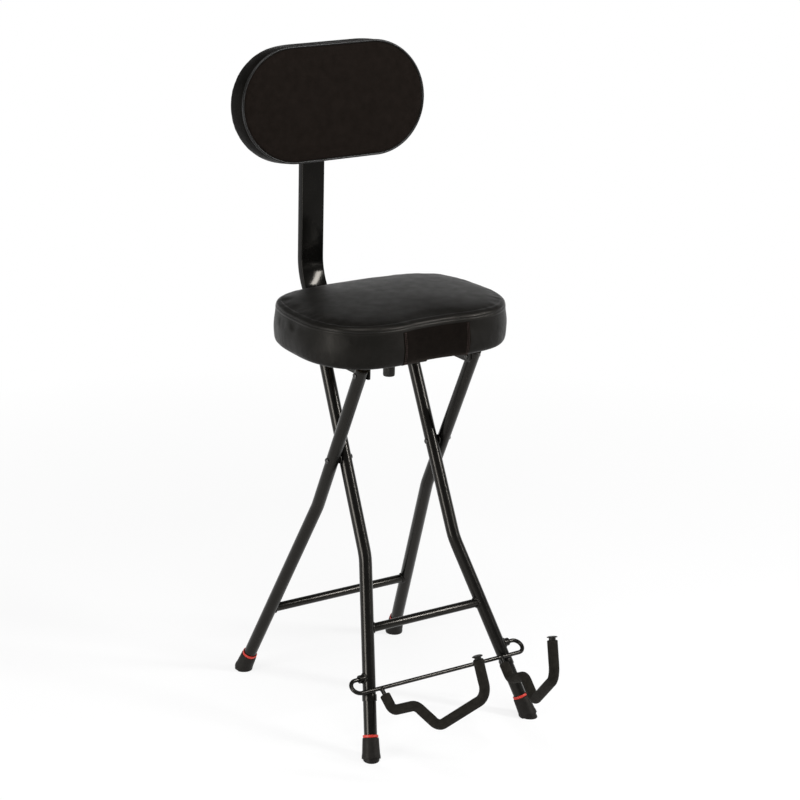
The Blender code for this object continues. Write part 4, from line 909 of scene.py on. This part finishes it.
# Welt over the top's edge: a convex band, a groove under it and a narrow felled bead, laid over the rounding.
# Each ring's place outward of the outline, height over the wall's top and lift off the cushion
seam = (
    (-0.0062, 0.006, -0.0003), (-0.0054, 0.0059, 0.0002), (-0.0032, 0.005, 0.0005), (-0.0006, 0.0034, 0.0008),
    (0.002, 0.001, 0.0009), (0.0038, -0.0014, 0.0008), (0.0048, -0.0032, 0.0004), (0.0054, -0.0044, -0.0001),
    (0.006, -0.0054, 0.0003), (0.006, -0.0066, 0.0005), (0.006, -0.008, 0.0004), (0.006, -0.0092, 0.0002),
    (0.006, -0.01, -0.0003))
weltLine = seatCurve(420)
band = np.stack([
    atHeight(offsetCurve(weltLine, outward), base + (high + height)) for outward, height, lift in seam], 1)
strip = laidStrip(seatTree, band, np.array(seam)[None, :, 2])
addPiece("seatWelt", strip, "welt", "seat", (), 50)

# Suede panel on the front wall, its ends turned under, a row of stitches just inside each end
panel = {"half": 0.0665, "top": 0.0104, "thick": 0.0009, "columns": 110, "rows": 30}
front = seatLine[seatLine[:, 1] < stool["back"]]
front = front[np.argsort(front[:, 0])]


# Points before the front wall, at places across it and heights over the seat's base
def onFront(across, heights, outward=0.004):
    depth = np.interp(across, front[:, 0], front[:, 1]) - outward
    return np.stack(np.broadcast_arrays(across[:, None], depth[:, None], base + heights[None]), -1)


across = np.linspace(-panel["half"], panel["half"], panel["columns"])
heights = np.linspace(high - panel["top"], 0.0022, panel["rows"])
sheet = onFront(across, heights)
sheet[:, -2:, 1] += (0.004, 0.009)                                 # turned under the cushion's lower edge
sheet[:, -2:, 2] = base + np.array([0.0016, 0.0006])
edgeAcross = np.clip((panel["half"] - np.abs(across)) / 0.0014, 0, 1)
edgeDown = np.clip(np.linspace(0, 1, panel["rows"]) * panel["rows"] / 1.2, 0, 1)
lift = (panel["thick"] + 0.0003) * np.sqrt(edgeAcross[:, None] * edgeDown[None]) - 0.0003
strip = laidStrip(seatTree, sheet, lift, sunk=0.0006, closedLine=False)
addPiece("seatFrontPanel", strip, "panel", "seat", (), 50)
rows = []
for side in (-1, 1):
    for inset in (0.0032, 0.0058):
        line = onFront(np.array([side * (panel["half"] - inset)]), np.linspace(high - 0.0116, 0.004, 40))[0]
        rows.append(stitchRow(seatTree, line, pitch=0.0034, radius=0.00028, lift=panel["thick"] - 0.00006))
addPiece("seatPanelStitches", joined(rows), "thread", "seat")
line = np.concatenate([band[:, 7], band[:1, 7]])
row = stitchRow(seatTree, line, pitch=0.0036, radius=0.00024, lift=0.00035)
addPiece("seatSeamStitches", row, "blackThread", "seat")

# Cover's hem under the board, folded and stapled: insets from the outline, heights over the underside
hem = {
    "insets": (0.0044, 0.0052, 0.012, 0.02, 0.0262, 0.0268, 0.0266, 0.02, 0.006),
    "heights": (0.0012, -0.0003, -0.0008, -0.0009, -0.0008, -0.0004, 0.0002, 0.0002, 0.0012),
    "ragged": 0.0011, "loose": 0.0005}
staple = {"length": 0.0105, "radius": 0.00055, "spacing": 0.027, "inset": 0.0195, "level": -0.0013, "turn": 0.16}


# Hem ring: each ring at its inset, waved by sines of the way round where the cloth is gathered
def hemRing(line, toPlace):
    way = fullTurn(len(line))
    wave = 0.5 + 0.5 * np.sin(way * 47 + 2 * np.sin(way * 5))
    rings = []
    for k, (inset, height) in enumerate(zip(hem["insets"], hem["heights"])):
        ragged = hem["ragged"] * np.sin(way * 23 + 1.5 * np.sin(way * 7)) * (4 <= k <= 6)
        sag = hem["loose"] * wave ** 3 * (2 <= k <= 5)
        rings.append(atHeight(offsetCurve(line, -(inset + ragged)), height - sag))
    return gridMesh(toPlace(np.stack(rings, 1)), wrapRings=True)


# Staples along a closed line, each turned a little off it
def stapleRow(line, toPlace, outward):
    count = int(np.linalg.norm(np.roll(line, -1, 0) - line, axis=1).sum() / staple["spacing"])
    spots = evenly(offsetCurve(line, -staple["inset"]), count)
    ahead = aheadOn(spots)
    ahead += np.stack([-ahead[:, 1], ahead[:, 0]], 1) * staple["turn"] * np.sin(np.arange(count) * 5.3)[:, None]
    start, end = (toPlace(atHeight(spots + ahead * step, staple["level"])) for step in (0, 0.001))
    normal = np.broadcast_to(np.asarray(outward, float), (count, 3))
    return smallBars(start, end - start, normal, staple["length"], staple["radius"])


def underSeat(points):
    return points + (0, 0, base)


addPiece("seatHem", hemRing(seatCurve(720), underSeat), "vinyl", "seat")
addPiece("seatStaples", stapleRow(seatCurve(720), underSeat, (0, 0, -1)), "staple", "seat")

# Backrest padding, shaped in its own frame: across, up, out of its back plane
turnArray = np.array(Matrix.Rotation(math.pi / 2 - pad["tilt"], 3, "X"))
padPlace = np.array([0, postBack - post["depth"] / 2 - pad["standoff"], pad["rise"]])


def onPad(points):
    return np.asarray(points) @ turnArray.T + padPlace


padLine = padCurve(220)
deep, swell = pad["thick"], pad["swell"]
walls = (
    (-0.0165, 0.003), (-0.0115, 0), (-0.0024, -0.0003), (0.0004, 0.0004), (0.002, 0.0034), (0.0028 - swell, 0.009),
    (0.0032 - swell, 0.02), (0.0028 - swell, 0.032), (0.0024 - swell, 0.039), (0.001, deep - 0.0018),
    (-0.0016, deep - 0.0002))
shape = stuffedShape(padLine, walls, crown=0.0012, shares=(0.97, 0.92, 0.84, 0.7, 0.5, 0.25, 0.0), power=2.0)
padding = settled(inflate(
    "backrestPadding", gridMesh(onPad(shape)), pad,
    lambda rest: ((rest - padPlace) @ turnArray)[:, 2] < 0.005, pressure=2.0), smooth=3)
padPiece = addPiece("backrestCushion", padding, "suede", "backrest", ["backrest_pad"], sharp=70)
padding.materials.append(finishes["side"])
centres = (rowsOf(padding.polygons, "center") - padPlace) @ turnArray
facing = rowsOf(padding.polygons, "normal") @ turnArray
isSide = (facing[:, 2] < 0.8) | (centres[:, 2] < 0.03)
padding.polygons.foreach_set("material_index", isSide.astype(np.int32))

# Piping round the face: a cord section on a line laid over the edge
piping = {"radius": 0.0021, "outward": -0.0004, "drop": 0.0014}
edgeLine = offsetCurve(padCurve(420), piping["outward"])
line = onPad(atHeight(edgeLine, deep - piping["drop"]))
normal = atHeight(edgeLine - offsetCurve(edgeLine, -1.0), 0.0) @ turnArray.T
cord = line[:, None] + spreadOn(circle(14) * piping["radius"], normal, turnArray[:, 2])
addPiece("backrestPiping", gridMesh(cord, wrapRings=True), "cord", "backrest", (), 80)
addPiece("backrestHem", hemRing(padCurve(560), onPad), "vinyl", "backrest")
addPiece("backrestStaples", stapleRow(padCurve(560), onPad, turnArray @ (0, 0, -1)), "staple", "backrest")
print("backrest cushion made:", len(padding.polygons), "faces")

photoView = {
    "azimuth": -34.09, "elevation": 18.18, "roll": 1.411, "distance": 4.13117, "lens": 2426.9 / 800 * 36,
    "target": (0.010897, -0.014573 + stool["back"], 0.547686)}


# Direction outward at an azimuth, counted from the front, and an elevation, in degrees
def outwardAt(azimuth, elevation):
    a, e = math.radians(azimuth), math.radians(elevation)
    return np.array([math.sin(a) * math.cos(e), -math.cos(a) * math.cos(e), math.sin(e)])


# Camera straight back from its target, then rolled about its own axis
roll = math.radians(photoView["roll"])
back = outwardAt(photoView["azimuth"], photoView["elevation"])
level = unit(np.cross((0, 0, 1), back))
upright = np.cross(back, level)
right, up = math.cos(roll) * level + math.sin(roll) * upright, math.cos(roll) * upright - math.sin(roll) * level
camera = inScene("camera", bpy.data.cameras.new("camera"))
stance = Matrix(np.column_stack([right, up, back]).tolist()).to_4x4()
camera.matrix_world = Matrix.Translation(np.array(photoView["target"]) + back * photoView["distance"]) @ stance
camera.data.lens, camera.data.sensor_width = photoView["lens"], 36
camera.data.clip_start, camera.data.clip_end = 0.05, 60
bpy.context.scene.camera = camera

# Lamps, each azimuth, elevation, distance from the stool's middle, size across and up, power
lamps = {
    "overhead": (-34, 70, 2.9, 1.7, 1.7, 52), "windowLeft": (-84, 3, 2.9, 1.1, 1.4, 58),
    "lampRight": (40, 29, 2.8, 0.26, 1.2, 66), "softBack": (136, 16, 3.0, 2.2, 0.6, 2.9)}
middle = Vector((0, stool["back"], 0.6))
for name, (azimuth, elevation, distance, across, tall, power) in lamps.items():
    light = bpy.data.lights.new(name, "AREA")
    light.shape, light.energy, light.size, light.size_y = "RECTANGLE", power, across, tall
    away = Vector(outwardAt(azimuth, elevation))
    holder = inScene(name, light)
    holder.location = middle + away * distance
    holder.rotation_mode = "QUATERNION"
    holder.rotation_quaternion = away.to_track_quat("Z", "Y")

# World: white at the horizon, dimmer overhead, by the height of the direction looked in
world = bpy.data.worlds.new("studio")
bpy.context.scene.world = world
world.use_nodes = True
looked = nodeOn(world, "ShaderNodeTexCoord").outputs["Generated"]
fade = toned(
    world, nodeOn(world, "ShaderNodeSeparateXYZ", looked).outputs["Z"], (1, 1, 1), (0.22, 0.22, 0.22), 0.03, 0.18)
world.node_tree.links.new(fade, world.node_tree.nodes["Background"].inputs["Color"])

# Floor: plain white cloth to the light, and mostly plain white to the eye, so that only soft shadows show
floorLook = {"colour": (0.9, 0.9, 0.9), "own": 0.17, "near": 1.0, "far": 2.0, "reach": 60, "level": -0.0002}
corners = [(x * floorLook["reach"], y * floorLook["reach"], floorLook["level"])
           for x, y in ((-1, -1), (1, -1), (1, 1), (-1, 1))]
floor = inScene("floor", arrayMesh(corners, [(0, 1, 2, 3)]))
floorFinish = plainFinish("floorFinish", floorLook["colour"], roughness=0.8, **{"Specular IOR Level": 0.1})
cloth = floorFinish.node_tree.nodes["Principled BSDF"].outputs[0]
glow = nodeOn(floorFinish, "ShaderNodeEmission", Color=(1, 1, 1, 1), Strength=1.0).outputs[0]
place = nodeOn(floorFinish, "ShaderNodeTexCoord").outputs["Object"]
away = nodeOn(floorFinish, "ShaderNodeVectorMath", place, operation="LENGTH").outputs["Value"]
own = ranged(floorFinish, away, floorLook["own"], 0.0, floorLook["near"], floorLook["far"])
shaded = nodeOn(floorFinish, "ShaderNodeMixShader", own, glow, cloth).outputs[0]
rays = nodeOn(floorFinish, "ShaderNodeLightPath").outputs
seeing = rays["Is Camera Ray"]
for other in ("Is Glossy Ray", "Is Transmission Ray"):
    seeing = nodeOn(floorFinish, "ShaderNodeMath", seeing, rays[other], operation="MAXIMUM").outputs[0]
seen = nodeOn(floorFinish, "ShaderNodeMixShader", seeing, cloth, shaded).outputs[0]
floorFinish.node_tree.links.new(seen, floorFinish.node_tree.nodes["Material Output"].inputs["Surface"])
floor.data.materials.append(floorFinish)

bpy.context.scene.view_settings.view_transform = "Standard"
